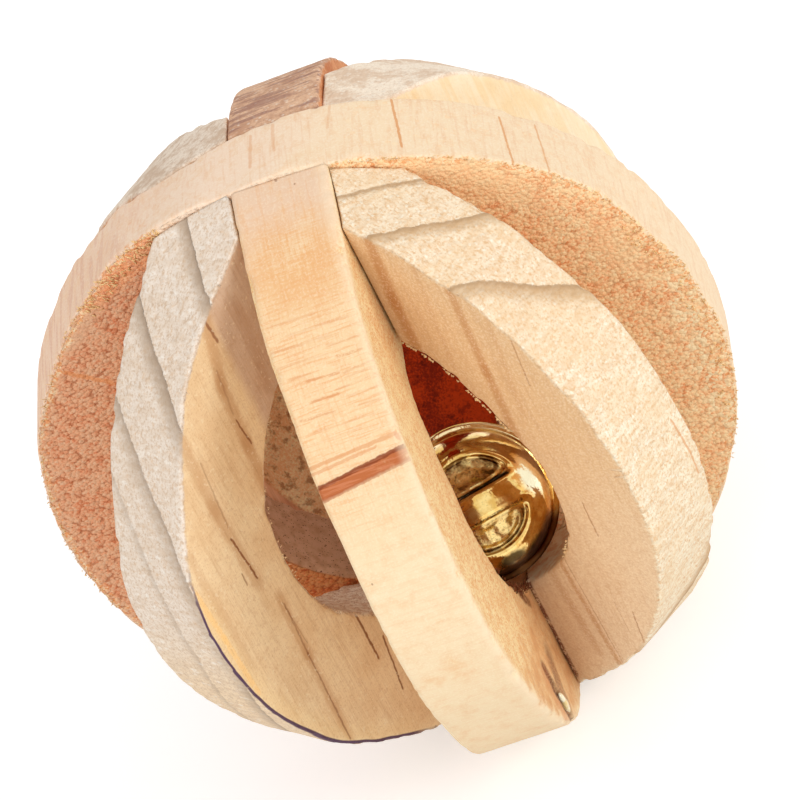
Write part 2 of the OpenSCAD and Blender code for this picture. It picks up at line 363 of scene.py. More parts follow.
def ring_piece(name, azimuth, slip, rim, hole, ends, rough, seed, material, counts,
               rim_edges=({}, {}), hole_edges=({}, {}), sides=({}, {}), carve=None, torn=(),
               thick=board_thickness, corner=0.4, chip=0.3):
    """A ring or half ring of board. Across is the thickness, down runs from the rim to the
    hole, and along runs round the ring. A point lies on the straight line from the rim to the
    hole at its place along, at its depth below the rim.

    In the board's plane, rim is (out, rise, radius) and hole is (out, rise). ends lists
    vertical planes (x, y, reach) that the glued ends are cut to; with none, the ring is whole.
    rough is the height of the bumps on (rim, face, hole). counts is how many points the mesh
    has along, across and down. rim_edges, hole_edges and sides are hand curves for the board's
    low and high side: how far each edge stands off its circle, and how far each side stands
    off the flat. torn lists zones of splinters: by which edge they stand, on which side,
    between which degrees, how many, how far in from the edge, how long and how wide, how they
    lean (away over the edge, off the face, at random), and their colour: the rim's, bright or
    dark."""
    along_count, across_count, down_count = counts
    half, depth_share, pull_across, pull_down = section_path(across_count, down_count, corner)
    heading = math.radians(azimuth)
    forward = np.array([math.cos(heading), math.sin(heading), 0.0])
    aside = np.array([-math.sin(heading), math.cos(heading), 0.0])
    upward = np.array([0.0, 0.0, 1.0])

    def nearest_cut(across):
        """Distance along the board at which the end planes cut it, at a place across it."""
        reach = np.full(np.shape(across), -1e9)
        for x, y, limit in ends:
            normal = np.array([x, y, 0.0])
            cut = (limit - (slip + across) * (normal @ aside)) / (normal @ forward)
            reach = np.maximum(reach, cut)
        return reach

    def between(angle, half_now, curves):
        """Height of the low side's curve at half = -1, the high side's at half = 1."""
        high = (half_now + 1.0) / 2.0
        return hand_curve(angle, curves[0]) * (1.0 - high) + hand_curve(angle, curves[1]) * high

    def circle_at(share, half_now, out, rise, radius, curves):
        """Angle and place, on the rim or the hole, at a share of the way round."""
        if not ends:
            angle = math.pi * (1.5 - 2.0 * share)
        else:
            cut = nearest_cut(half_now * thick / 2)
            up = down = np.arccos(np.clip((cut - out) / radius, -1.0, 1.0))
            for _ in range(4):
                up, down = (
                    np.arccos(np.clip((cut - out) / (radius + between(turn, half_now, curves)),
                                      -1.0, 1.0)) for turn in (up, -down))
            angle = up * (1.0 - share) - down * share
        grown = radius + between(angle, half_now, curves)
        return angle, np.stack([out + grown * np.cos(angle), rise + grown * np.sin(angle)], -1)

    def place(share, half_now, depth_now, pull_a, pull_d, bump_a, bump_d):
        angle, outer = circle_at(share, half_now, *rim, rim_edges)
        _, inner = circle_at(share, half_now, *hole, hole_radius, hole_edges)
        length = np.linalg.norm(inner - outer, axis=-1)
        down = depth_now * length + pull_d * corner + bump_d
        flat = outer + (inner - outer) * (down / length)[..., None]
        across = half_now * thick / 2 + pull_a * corner + bump_a + between(angle, half_now, sides)
        if carve is not None:
            across = across - carve(flat, half_now)
        point = (forward * flat[..., :1] + aside * (slip + across)[..., None]
                 + upward * (middle_rise + flat[..., 1:]))
        return point, angle, across, down, flat, length

    def noted(point, angle, across, down, flat, skin):
        """Points with what is noted on them: the place in the board, the way round the rim and
        which skin of the board they are on."""
        board = np.stack([flat[..., 0], across, flat[..., 1]], -1)
        way = np.stack([angle * rim[2], across, down], -1)
        return [rows.reshape(-1, 3) for rows in (point, board, way, skin)]

    closed = not ends
    share = np.arange(along_count) / (along_count if closed else along_count - 1)
    share = share[:, None] + 0 * half
    zero = 0 * share
    section = [row + zero for row in (half, depth_share, pull_across, pull_down)]
    point, _, across, down, _, length = place(share, *section, zero, zero)
    on_rim = 1.0 - spread(down, 0.05, corner)
    on_hole = spread(down, length - corner, length - 0.05)
    on_face = np.clip(1.0 - on_rim - on_hole, 0.0, 1.0)
    at_edge = 1.0 - spread(np.maximum(np.minimum(down, length - down),
                                      thick / 2 - np.abs(across)), 0.1, 0.7)
    fine = 0.6 * lumps(point, 0.9, seed) + 0.4 * lumps(point, 0.55, seed + 1)
    broad = lumps(point, 3.2, seed + 2)
    height = (rough[0] * on_rim + rough[1] * on_face + rough[2] * on_hole) * (fine + 0.6 * broad)
    chips = at_edge * np.maximum(0.0, lumps(point, 1.1, seed + 3) + 0.35 * broad) * chip
    if not closed:
        fade = spread(np.minimum(share, 1.0 - share), 0.0, 0.012)
        height = height * fade
        chips = chips * fade
    facing = np.sign(section[0])
    bump_a = height * on_face * facing - chips * facing * 0.5
    bump_d = height * (on_hole - on_rim) + chips * np.where(down < length / 2, 1.0, -1.0)
    found = place(share, *section, bump_a, bump_d)
    flat = found[4]
    parts = [noted(*found[:5], np.stack([on_rim, on_hole, facing * on_face], -1))]
    rows, columns = share.shape
    index = np.arange(rows * columns).reshape(rows, columns)
    wrapped = np.concatenate([index, index[:, :1]], axis=1)
    if closed:
        wrapped = np.concatenate([wrapped, wrapped[:1]], axis=0)
    faces = [grid_faces(wrapped)]
    high_rim = across_count - 1
    high_hole = high_rim + down_count - 1
    low_hole = high_hole + across_count - 1
    for end_row in () if closed else (0, rows - 1):
        loop = index[end_row]
        cap = np.empty((across_count, down_count), dtype=np.int64)
        cap[:, 0] = loop[:high_rim + 1]
        cap[-1, :] = loop[high_rim:high_hole + 1]
        cap[::-1, -1] = loop[high_hole:low_hole + 1]
        cap[0, ::-1] = np.append(loop[low_hole:], loop[0])
        half_in, depth_in = np.meshgrid(np.linspace(-1, 1, across_count)[1:-1],
                                        np.linspace(0, 1, down_count)[1:-1], indexing="ij")
        first = sum(len(part[0]) for part in parts)
        cap[1:-1, 1:-1] = first + np.arange(half_in.size).reshape(half_in.shape)
        faces.append(grid_faces((cap if end_row else cap[::-1]).T))
        zero = 0 * half_in
        found = place(float(end_row > 0) + zero, half_in, depth_in, zero, zero, zero, zero)
        parts.append(noted(*found[:5], np.zeros((half_in.size, 3))))
    rng = np.random.default_rng(seed)
    for edge, side, degrees, count, inward, long, wide, lean, look in torn:
        by_rim = edge == "rim"
        column = ((low_hole, high_hole), (0, high_rim))[by_rim][side > 0]
        middle = rim if by_rim else hole
        turned = np.unwrap(np.arctan2(flat[:, column, 1] - middle[1],
                                      flat[:, column, 0] - middle[0]))
        angle_at = np.radians(rng.uniform(*degrees, count))
        angle_at -= 2.0 * math.pi * np.ceil((angle_at - turned[0]) / (2.0 * math.pi))
        share_at = np.interp(-angle_at, -turned, share[:, column])
        zero = 0.0 * share_at
        off_edge = 1.0 if by_rim else -1.0
        root, arc_at, across_at, _, flat_at, _ = place(
            share_at, side + zero, float(not by_rim) + zero, zero, zero, zero,
            rng.uniform(*inward, count) * off_edge)
        outward = off_edge * (forward * np.cos(angle_at)[:, None]
                              + upward * np.sin(angle_at)[:, None])
        grown = outward * lean[0] + aside * (side * lean[1]) + rng.normal(0.0, lean[2], (count, 3))
        grown /= np.linalg.norm(grown, axis=-1, keepdims=True)
        spikes, spike_sides, spike_ends = torn_fibres(
            root, grown, np.cross(aside, outward), rng.uniform(*long, count),
            rng.uniform(0.7, 1.3, count) * wide, rng)
        first = sum(len(part[0]) for part in parts)
        faces += [spike_sides + first, spike_ends + first]
        depth = {"rim": 0.0, "bright": -1.0, "dark": -3.0}[look]
        _, *notes = noted(root, arc_at, across_at, zero + depth, flat_at, np.zeros((count, 3)))
        parts.append([spikes, *(np.repeat(note, spike_points, axis=0) for note in notes)])
    points, board, way, skin = (np.concatenate(rows) for rows in zip(*parts))
    points[:, 2] = np.maximum(points[:, 2], 0.0)
    lay_mesh(name, points, faces, {"board": board, "way": way, "skin": skin},
             material, [name])


class Pine:
    """A bare pine board's material in the making. It reads the places that the mesh notes: along
    the board's plane, across it and up, in millimetres; the way round the rim; and which skin
    of the board a point is on."""

    def __init__(self, name, shift=0.0):
        self.material, self.wire = new_material(name)
        self.shift = shift
        self.board = self.note("board")
        self.out, self.across, self.rise = self.parts(self.board)
        self.arc, self.level, self.down = self.parts(self.note("way"))
        self.rim, self.hole, self.side = self.parts(self.note("skin"))
        self.on_rim = self.flat(self.arc, self.level)
        self.on_face = self.flat(self.out, self.rise)
        self.colour = None
        self.height = None

    def note(self, label):
        return self.wire.node("Attribute", out=1, attribute_name=label)

    def parts(self, vector):
        return [self.wire.node("SeparateXYZ", {0: vector}, place) for place in range(3)]

    def laid(self, scale, stretch, shift, turn):
        """The board's own place, scaled, moved to a fresh part of the pattern and turned in the
        board's plane by degrees. A smaller stretch along an axis draws the pattern out there."""
        moved = self.shift + shift
        return self.wire.node("Mapping", {
            "Vector": self.board, "Location": (moved, moved * 0.7, moved * 1.3),
            "Rotation": (0.0, math.radians(turn), 0.0),
            "Scale": tuple(scale * s for s in stretch)})

    def noise(self, scale, detail=2.0, rough=0.55, stretch=(1.0, 1.0, 1.0), shift=0.0, turn=0.0):
        """Noise from 0 to 1 with a grain of about 1 / scale mm."""
        place = self.laid(scale, stretch, shift, turn)
        return self.wire.node("TexNoise", {"Vector": place, "Scale": 1.0, "Detail": detail,
                                           "Roughness": rough})

    def tufts(self, size, shift=0.0, stretch=(1.0, 1.0, 1.0), turn=0.0):
        """Torn fibre ends of about the given size in mm, side by side like cobbles. Returns each
        end's own tone from 0 to 1, and its height, 1 in its middle and 0 where ends meet."""
        place = self.laid(1.0 / size, stretch, shift, turn)
        apart = self.wire.node("TexVoronoi", {"Vector": place, "Scale": 1.0})
        tone = self.wire.node("SeparateColor", {"Color": apart.other("Color")})
        return tone, 1.0 - apart

    def flat(self, right, up):
        """Places on a plane: right and up in millimetres."""
        return self.wire.node("CombineXYZ", {0: right, 1: up})

    def frayed(self, plane, amount, scale=1.6):
        """The same plane, shaken about by some of the amount in mm, for ragged edges."""
        shake = self.wire.node("TexNoise", {
            "Vector": self.laid(scale, (1.0, 1.0, 1.0), 50.0, 0.0), "Scale": 1.0}, out=1)
        moved = shake.vector("MULTIPLY_ADD", shake, (amount, amount, 0.0), plane)
        return moved.vector("SUBTRACT", moved, (amount / 2, amount / 2, 0.0))

    def lined_up(self, plane, centre, turn, length, width):
        """Places from a centre, turned by degrees, in units of a length and a width."""
        return self.wire.node("Mapping", {
            "Vector": plane, "Location": (*centre, 0.0), "Scale": (length, width, 1.0),
            "Rotation": (0.0, 0.0, math.radians(turn))}, vector_type="TEXTURE")

    def spot(self, plane, centre, length, width, turn=0.0, soft=0.6):
        """Share of a long spot: 1 inside an ellipse, fading to 0 at its edge."""
        place = self.lined_up(plane, centre, turn, length / 2, width / 2)
        reach = place.vector("LENGTH", place, out=1)
        return reach.rise(1.0, math.sqrt(1.0 - soft))

    def stroke(self, plane, start, end, width, soft=0.8):
        """Share of a line from start to end, fading out half a width from it."""
        length = math.dist(start, end)
        turn = math.degrees(math.atan2(end[1] - start[1], end[0] - start[0]))
        centre = ((start[0] + end[0]) / 2, (start[1] + end[1]) / 2)
        place = self.lined_up(plane, centre, turn, width, width / 2)
        past = place.vector("ABSOLUTE", place)
        past = past.vector("SUBTRACT", past, (length / 2 / width, 0.0, 0.0))
        reach = past.vector("LENGTH", past.vector("MAXIMUM", past, (0.0, 0.0, 0.0)), out=1)
        return reach.rise(1.0, math.sqrt(1.0 - soft))

    def ruled(self, colour, plane, ink, lines, soft=0.8):
        """The colour under lines of one ink. A line is its width, its strength and its points."""
        for width, strength, *points in lines:
            for start, end in zip(points, points[1:]):
                line = self.stroke(plane, start, end, width, soft)
                colour = colour.paint((line * strength, ink))
        return colour

    def late_growth_and_shade(self, colour, relief, layer, torn, inks, foot_shadow_fade, foot_shadow_share, bands):
        """The colour and the relief under dark late growth bands, whose colour is partly the
        layers' darker wood and partly painted shade below each ledge. A band has a sharp edge, a
        length over which it fades towards the next layer, both in mm through the layers, and a
        strength. Inks are the band's and that of its narrow foot just behind the edge, which is a
        painted shadow under the ledge."""
        def ledge(edge, fade):
            return (layer.rise(edge - 0.15, edge + 0.10)
                    * layer.rise(edge + fade, edge + 0.15 * fade))

        for edge, fade, strength in bands:
            band = ledge(edge, fade) * (torn * 0.8 + 0.5).clamped()
            foot = ledge(edge, foot_shadow_fade)
            colour = colour.paint(
                (band * strength, inks[0]),
                (foot * (strength * foot_shadow_share), inks[1]))
            relief = relief - band * (0.16 * strength)
        return colour, relief

    def finish(self, roughness, bright=(255, 222, 170), dark=(128, 68, 32)):
        """Ends the material. Its height is in millimetres. Bright and dark are the colours of
        the splinters that are noted as lying 1 and 3 mm above the rim."""
        self.colour = self.colour.paint(
            (self.down.rise(-0.5, -0.9), bright),
            (self.down.rise(-2.0, -2.8), dark))
        raised = self.wire.node("Bump", {"Height": self.height, "Distance": 0.001,
                                         "Strength": 1.0})
        finish_material(self.material, self.wire.node("BsdfPrincipled", {
            "Base Color": self.colour, "Roughness": roughness, "Normal": raised,
            "Specular IOR Level": 0.25}))
        return self.material


full = Pine("full_ring_pine")
rim_plane = full.frayed(full.on_rim, 0.25)
face_plane = full.frayed(full.on_face, 0.5)
slow = full.noise(0.16, 1.0)
mottle = full.noise(0.9, 3.0, 0.6, shift=21.0)
fuzz = full.noise(4.5, 1.0, 0.6, shift=31.0)
cross_grain = full.noise(1.3, 2.0, 0.6, stretch=(2.2, 0.14, 2.2), shift=5.0)
stripes = full.noise(1.5, 0.0, stretch=(1.0, 0.08, 1.0), shift=9.0)
round_rim = full.out + (slow - 0.5) * 16.0
rim_colour = round_rim.rise(14.0, -4.0).blend((247, 221, 185), (248, 220, 194)).paint(
    (round_rim.rise(-8.0, -22.0), (240, 204, 176)),
    (mottle.rise(0.46, 0.66) * 0.40, (240, 198, 154)),
    (cross_grain.rise(0.48, 0.70) * 0.35, (234, 184, 140)),
    (stripes.rise(0.50, 0.58) * full.out.rise(-9.0, -22.0) * 0.45, (220, 166, 138)),
    (fuzz.rise(0.50, 0.66) * 0.30, (255, 240, 218)))
rim_colour = full.ruled(rim_colour, rim_plane, (222, 152, 92), (
    (0.34, 0.8, (40.9, 4.8), (40.4, -3.0)), (0.32, 0.75, (30.2, 3.0), (29.6, -4.6)),
    (0.28, 0.6, (26.4, 3.4), (25.9, -4.6)), (0.5, 0.35, (52.8, 3.6), (52.9, -0.4)),
    (0.5, 0.4, (55.2, 3.2), (55.5, -1.6)), (0.4, 0.3, (46.9, 4.2), (47.4, 1.0))))

tone, mound = full.tufts(0.42, 3.0, stretch=(0.9, 1.0, 1.15), turn=30.0)
fine_tone, fine_mound = full.tufts(0.24, 9.0)
cloud = full.noise(0.45, 3.0, 0.6, shift=8.0)
scratch = full.noise(1.6, 3.0, 0.65, stretch=(0.25, 1.0, 1.8), shift=6.0, turn=32.0)
worn_top = full.spot(face_plane, (18.5, 27.0), 22.0, 6.5, turn=-45.0, soft=0.9)
worn_right = full.spot(face_plane, (29.0, 12.0), 13.0, 4.5, turn=-72.0, soft=0.9)
worn_left = full.spot(face_plane, (-22.0, 26.8), 12.0, 3.6, turn=48.0, soft=0.8)
worn = (worn_top * 0.75 + worn_right * 0.55 + worn_left * 0.8).clamped()
# Painted shade: towards the left, the face is tinted darker and pinker, and its gaps between fibre
# ends are darker, as the shade beside the front left half ring. The same mask also raises the bumps
# there.
shaded_left_side = full.out.rise(6.0, -12.0)
torn = tone * 0.36 + fine_tone * 0.28 + fuzz * 0.40 + cloud * 0.62 - 0.32
face_tone = torn * (1.0 - worn) + (scratch * 0.8 + fine_tone * 0.16 + 0.06) * worn
# Dark gaps between the torn fibre ends, low between the mounds: partly the darker wood in the pits,
# partly painted shade in them.
gaps = (1.0 - mound * 0.6 - fuzz * 0.4).rise(0.55, 0.72) * (1.0 - worn * 0.8)
coarse_right = full.stroke(face_plane, (32.8, 5.0), (31.8, -11.0), 3.8)
seam_line = full.stroke(face_plane, (-27.2, 22.1), (-22.6, 18.2), 0.7)
hair = full.noise(2.4, 2.0, 0.6, stretch=(1.0, 1.0, 0.22), shift=14.0, turn=-25.0)
hairs = hair * 0.6 + fine_tone * 0.4
patch_plane = full.frayed(full.on_face, 2.6, 0.9)
orange_patch = full.stroke(patch_plane, (-20.0, 28.8), (-10.0, 33.0), 4.0)
beside_straps = full.out.rise(6.5, 7.5) + full.out.rise(-11.2, -12.0)
fringe = (full.down + (tone - 0.5) * 1.2).rise(0.85, 0.30) * beside_straps
fringe_colour = fine_tone.rise(0.35, 0.75).blend((240, 166, 104), (255, 230, 188))
# Painted shade: the lower left of the face, deep inside by the hole, is tinted darker and warmer.
low_left_shade = full.spot(face_plane, (-13.0, -14.0), 18.0, 10.0, turn=-45.0, soft=0.6)
wall_colour = (slow * 0.4 + mottle * 0.6).rise(0.40, 0.62).blend(
    (218, 177, 144), (196, 152, 118)).paint((fuzz.rise(0.36, 0.28) * 0.9, (96, 52, 30)))
near_rim = (full.down + (tone - 0.5) * 0.4 - (1.0 - beside_straps) * 0.9).rise(0.30, 0.14)
face_colour = face_tone.node("ValToRGB", {"Fac": face_tone}, stops=(
    (0.20, (236, 158, 104)), (0.36, (255, 200, 148)), (0.54, (255, 214, 162)),
    (0.76, (255, 226, 178))))
face_colour = face_colour.paint(
    (gaps * (shaded_left_side * 0.25 + 0.45), (190, 116, 64)),
    (coarse_right * tone.rise(0.45, 0.75) * 0.7, (255, 234, 190)))
face_colour = face_colour.tint((0.82, 0.64, 0.67, 1.0), shaded_left_side).paint(
    (worn_left * 0.6, (224, 180, 144)),
    (seam_line * 0.75, (232, 152, 96)),
    (orange_patch * hairs.rise(0.30, 0.50) * 0.85, (244, 164, 112)),
    (orange_patch * hairs.rise(0.52, 0.68) * 0.6, (255, 206, 160)),
    (fringe * 0.7, fringe_colour))
full.colour = face_colour.tint((0.92, 0.70, 0.43, 1.0), low_left_shade).paint(
    (full.hole, wall_colour),
    (near_rim, rim_colour))
torn_height = mound * (shaded_left_side * 0.08 + 0.15) + fine_mound * 0.05
full.height = full.side * full.side * torn_height + full.rim * fuzz * 0.02

ring_piece(
    "full_ring", 0.0, 0.0, rim=(0.0, 0.0, 35.0), hole=(0.0, 0.0), ends=(),
    rough=(0.015, 0.09, 0.05), seed=11, material=full.finish(0.75, bright=(255, 216, 158)),
    corner=0.3, chip=0.25, counts=(620, 26, 42), thick=9.2,
    rim_edges=(
        {-160: 0.0, -120: 0.1, -90: 0.0, -60: 0.0, -40: 0.1, -28: -0.1, -20: -0.1, -9: 0.0, -1: 0.1,
         5: -0.15, 14: 0.2, 21: -0.05, 27: 0.35, 35: 0.65, 42: 0.6, 51: 0.25, 57: 0.0, 68: -0.3,
         78: -0.15, 85: 0.0, 90: -0.1, 95: -0.25, 102: 0.35, 107: 0.6, 113: 0.8, 118: 0.95,
         124: 0.45, 130: 0.4, 137: 0.0, 150: 0.0, 156: 0.2, 163: 0.0, 175: -0.05},
        {-160: -0.6, -120: -0.4, -90: 0.0, -50: -0.2, -31: -0.1, -15: 0.15, -4: 0.0, 5: -0.05,
         13: -0.15, 24: 0.1, 40: 0.0, 66: 0.0, 82: -0.05, 90: -0.4, 99: -0.8, 105: -0.95, 110: -0.8,
         116: -0.1, 122: -0.3, 129: -0.1, 139: -0.25, 148: -0.12, 155: -0.1, 170: -0.4}),
    torn=(
        ("rim", -1, (108, 128), 150, (0.0, 2.2), (0.4, 0.9), 0.14, (1.0, 0.5, 0.3), "bright"),
        ("rim", -1, (-30, 78), 330, (0.0, 0.4), (0.12, 0.3), 0.1, (0.7, 0.7, 0.35), "bright"),
        ("rim", -1, (-22, 34), 130, (0.2, 2.2), (0.25, 0.5), 0.17, (0.5, 0.8, 0.4), "bright"),
        ("rim", -1, (128, 196), 190, (0.0, 0.6), (0.12, 0.32), 0.09, (0.7, 0.7, 0.35), "bright"),
        ("rim", -1, (141, 149), 5, (0.1, 0.4), (0.7, 1.1), 0.06, (1.0, 0.3, 0.3), "bright")))


# ---- Front half ring ----------------------------------------------------
# The strap nearest the eye, half a slice of the same post. Its rim is sanded
# smooth, with a resin streak across it and an orange stain near the top, and
# its right side is split at the foot.

front = Pine("front_half_ring_pine", 20.0)
rim_plane = front.frayed(front.on_rim, 0.30)
face_plane = front.frayed(front.on_face, 0.4)
slow = front.noise(0.14, 1.0)
mottle = front.noise(0.55, 3.0, 0.6, shift=5.0)
fuzz = front.noise(4.5, 1.0, 0.6, shift=2.0)
long_grain = front.noise(1.8, 2.0, 0.6, stretch=(0.14, 2.0, 0.14), shift=7.0)
cross_grain = front.noise(2.4, 2.0, 0.6, stretch=(2.0, 0.12, 2.0), shift=9.0)
place = front.arc + (slow - 0.5) * 12.0
sawn = place.rise(12.0, 22.0) * place.rise(46.0, 34.0)
stain = front.spot(rim_plane, (40.2, 0.2), 15.0, 15.0, soft=0.95)
stain = stain * (slow * 0.4 + long_grain * 0.3 + cross_grain * 0.3).rise(0.36, 0.52)
saw_marks = 0.0
for arc_0, level_0, arc_1, level_1, width, strength in (
        (29.6, 1.7, 29.5, 3.9, 0.32, 0.75), (28.3, -1.8, 28.1, 1.1, 0.34, 0.70),
        (26.3, -2.2, 26.2, 0.4, 0.34, 0.75), (24.9, -3.7, 24.7, -0.4, 0.34, 0.70),
        (27.3, 0.9, 27.6, 4.5, 0.30, 0.45), (27.9, 1.8, 28.2, 5.0, 0.30, 0.50),
        (31.9, -1.5, 31.8, 1.5, 0.34, 0.35), (29.0, -3.5, 28.9, -1.5, 0.30, 0.40),
        (24.5, 2.2, 24.4, 4.8, 0.34, 0.35), (32.1, -4.3, 31.9, -1.5, 0.34, 0.40),
        (30.9, 1.0, 30.8, 4.0, 0.30, 0.40), (26.6, 0.6, 26.8, 4.4, 0.30, 0.45),
        (25.6, 1.5, 25.7, 4.8, 0.30, 0.35), (33.2, -2.5, 33.0, 3.6, 0.30, 0.30),
        (34.6, -4.0, 34.4, 0.5, 0.34, 0.30), (23.4, -2.8, 23.3, 3.0, 0.30, 0.30),
        (30.4, -4.4, 30.2, 0.6, 0.30, 0.30), (22.4, -4.0, 22.4, 1.5, 0.30, 0.25)):
    mark = front.stroke(rim_plane, (arc_0, level_0), (arc_1, level_1), width * 1.25, soft=0.95)
    saw_marks = mark.math("MAXIMUM", mark * strength, saw_marks)
saw_marks = saw_marks * (cross_grain * 0.6 + fuzz * 0.4).rise(0.34, 0.56)
rim_colour = place.rise(6.0, 22.0).blend((243, 219, 180), (242, 208, 162)).paint(
    (place.rise(38.0, 47.0), (235, 202, 172)),
    (mottle.rise(0.44, 0.66) * 0.30, (234, 190, 142)),
    (long_grain.rise(0.50, 0.68) * place.rise(8.0, 20.0) * 0.30, (232, 172, 116)),
    (cross_grain.rise(0.48, 0.66) * (sawn * 0.42 + 0.14), (233, 168, 112)),
    (stain * 0.60, (232, 168, 104)),
    (fuzz.rise(0.50, 0.66) * 0.20, (255, 240, 214)),
    (saw_marks * 0.8, (214, 134, 76)))
for start, end, width, strength, colour in (
        ((20.3, -4.9), (20.8, 4.4), 0.5, 0.55, (218, 146, 90)),
        ((19.7, -4.6), (20.2, 2.0), 0.4, 0.45, (216, 138, 84)),
        ((17.6, -4.9), (18.8, 4.9), 1.9, 0.95, (185, 96, 44)),
        ((18.2, -4.9), (19.4, 4.9), 0.55, 0.85, (132, 58, 24)),
        ((16.9, -4.9), (18.0, 4.9), 0.5, 0.50, (166, 82, 42))):
    line = front.stroke(rim_plane, start, end, width, soft=0.7)
    rim_colour = rim_colour.paint((line * strength, colour))
streak_grain = front.stroke(rim_plane, (17.6, -4.9), (18.8, 4.9), 1.7)
rim_colour = rim_colour.paint(
    (streak_grain * cross_grain.rise(0.46, 0.60) * 0.35, (226, 150, 112)),
    (front.spot(rim_plane, (20.6, 4.6), 1.3, 0.9) * 0.6, (206, 120, 72)))
for centre, size in (((49.6, 0.2), 0.5), ((48.4, 1.9), 0.35), ((21.3, 5.2), 1.2),
                     ((18.5, 5.3), 0.9), ((7.4, -3.2), 0.35)):
    speck = front.spot(rim_plane, centre, size, size * 0.8, soft=0.7)
    rim_colour = rim_colour.paint((speck * 0.6, (150, 106, 82)))
low_shade = front.spot(rim_plane, (-6.5, -0.5), 4.0, 9.0, soft=0.95)
# The first coat is soft orange mottles low on the rim. The second is a pale band along the rim's
# high edge, where it rounds into the right side: partly sanded wear, partly painted highlight.
rim_colour = rim_colour.paint(
    (low_shade * mottle.rise(0.35, 0.6) * 0.35, (234, 180, 124)),
    (front.level.rise(3.6, 4.8) * 0.45, (250, 226, 192)))
# The same pale band on the right side just below the rim: partly sanded wear, partly painted
# highlight.
rubbed_edge_and_highlight = front.side.rise(-0.2, 0.4) * (front.down + (mottle - 0.5) * 2.0).rise(2.0, 0.2)
foot = front.rise.rise(-12.0, -19.0) * (front.down + (mottle - 0.5) * 3.0).rise(0.2, 1.6)
torn_foot = front.rise.rise(-10.0, -17.0) * (fuzz * 0.5 + mottle * 0.5).rise(0.50, 0.62)
near_rim = (front.down + (mottle - 0.5) * 1.2).rise(0.6, 0.1)
front.colour = mottle.rise(0.40, 0.62).blend((249, 222, 167), (241, 201, 144)).paint(
    (fuzz.rise(0.49, 0.34) * 0.60, (224, 148, 88)),
    (fuzz.rise(0.52, 0.66) * 0.45, (255, 243, 206)),
    (rubbed_edge_and_highlight * 0.6, (253, 232, 196)),
    (foot * 0.55, (224, 170, 116)),
    (torn_foot * 0.5, (206, 136, 84)),
    (near_rim, rim_colour),
    (front.hole * 0.6, (216, 160, 108)))
on_right = front.side.rise(0.2, 0.8)
ragged = (fuzz * 0.6 + mottle * 0.4).rise(0.60, 0.46) * 0.55 + 0.45
# Strokes on the right side at the split: an orange-brown band, the crack's dark lines, two wide
# grey-brown strokes of painted shade on the flap beside it, and two dark strokes higher up.
for start, end, width, strength, colour in (
        ((23.6, -21.4), (23.8, -25.8), 3.4, 0.40, (206, 122, 70)),
        ((22.3, -21.2), (22.3, -23.6), 2.4, 0.85, (126, 62, 30)),
        ((22.5, -23.4), (22.0, -28.8), 2.6, 0.90, (88, 44, 22)),
        ((18.4, -23.2), (19.6, -23.9), 3.2, 0.45, (166, 118, 80)),
        ((19.5, -23.8), (21.0, -26.4), 3.8, 0.60, (144, 98, 66)),
        ((17.2, -12.2), (16.2, -15.8), 1.5, 0.90, (118, 60, 26)),
        ((16.0, -15.6), (15.2, -17.4), 1.5, 0.85, (112, 56, 26))):
    crack_and_shade = front.stroke(face_plane, start, end, width) * ragged
    front.colour = front.colour.paint((crack_and_shade * on_right * strength, colour))
front.height = (1.0 - front.rim) * (mottle * 0.12 + fuzz * 0.04) + front.rim * (
    cross_grain * 0.02)


def split_depth(flat, half_now):
    """Depth of the split in the right side: a trough 0.9 mm deep along a line that starts 22 mm
    out and 22 mm below the middle and runs down, leaning 4 degrees inwards, to the rim."""
    lean = math.radians(4.0)
    right = flat[..., 0] - 22.2
    up = flat[..., 1] + 22.0
    along = -right * math.sin(lean) - up * math.cos(lean)
    beside = right * math.cos(lean) - up * math.sin(lean)
    wide = 0.45 + 0.25 * spread(along, -1.5, 3.0)
    trough = 0.9 * (1.0 - spread(np.abs(beside), 0.3 * wide, 1.2 * wide))
    return trough * spread(along, -1.2, 1.2) * (half_now > 0.99)


glued_at = 4.7          # how far from the ball's middle plane the half rings end, in mm
ring_piece(
    "front_half_ring", -90.0, 1.7, rim=(0.0, -0.65, 34.6), hole=(2.5, -1.8),
    ends=((0.0, -1.0, glued_at),), rough=(0.02, 0.06, 0.04), seed=21, material=front.finish(0.7),
    carve=split_depth, corner=0.5, counts=(560, 26, 56),
    rim_edges=(
        {-90: 0.0, -78: 0.25, -66: 0.7, -56: 1.0, -46: 0.8, -38: 0.3, -30: -0.2, -20: -0.15, 0: 0.0,
         40: 0.0, 60: 0.1, 72: 0.5, 80: 0.95, 84: 1.1, 100: 1.2},
        {-90: 0.0, -78: 0.3, -66: 0.8, -56: 1.1, -46: 0.9, -38: 0.5, -30: 0.1, -15: 0.0, 0: 0.0,
         60: 0.0, 72: 0.3, 80: 0.6, 84: 0.7, 100: 0.8}),
    hole_edges=(
        {},
        {-60: -0.4, -38: -0.2, -19: -0.4, -8: -0.9, 7: -1.0, 15: -1.4, 25: -0.7, 36: -0.4, 43: 0.0,
         60: -0.3}),
    sides=(
        {-60: 0.0, -31: 0.12, -15: 0.2, -5: 0.35, 8: 0.45, 20: 0.4, 33: 0.22, 45: 0.2, 52: 0.0,
         66: 0.08, 75: 0.2, 84: 0.28},
        {-84: 0.2, -60: 0.55, -40: 0.4, -25: 0.2, 0: 0.05, 29: 0.0, 56: 0.0, 63: 0.2, 70: 0.4,
         84: 0.45}),
    torn=(
        ("hole", 1, (-35, 36), 70, (0.0, 0.3), (0.15, 0.4), 0.08, (0.6, 0.5, 0.5), "dark"),
        ("hole", 1, (-70, -35), 130, (0.0, 0.9), (0.3, 0.8), 0.12, (0.6, 0.5, 0.5), "dark")))


# ---- Front left half ring -----------------------------------------------
# Half a disc of flat sawn board, with its grain upright and its yearly layers
# running through at a slant. Its rim is end grain, grey and rough, and the
# pencilled cutting line is left along its lower edge.

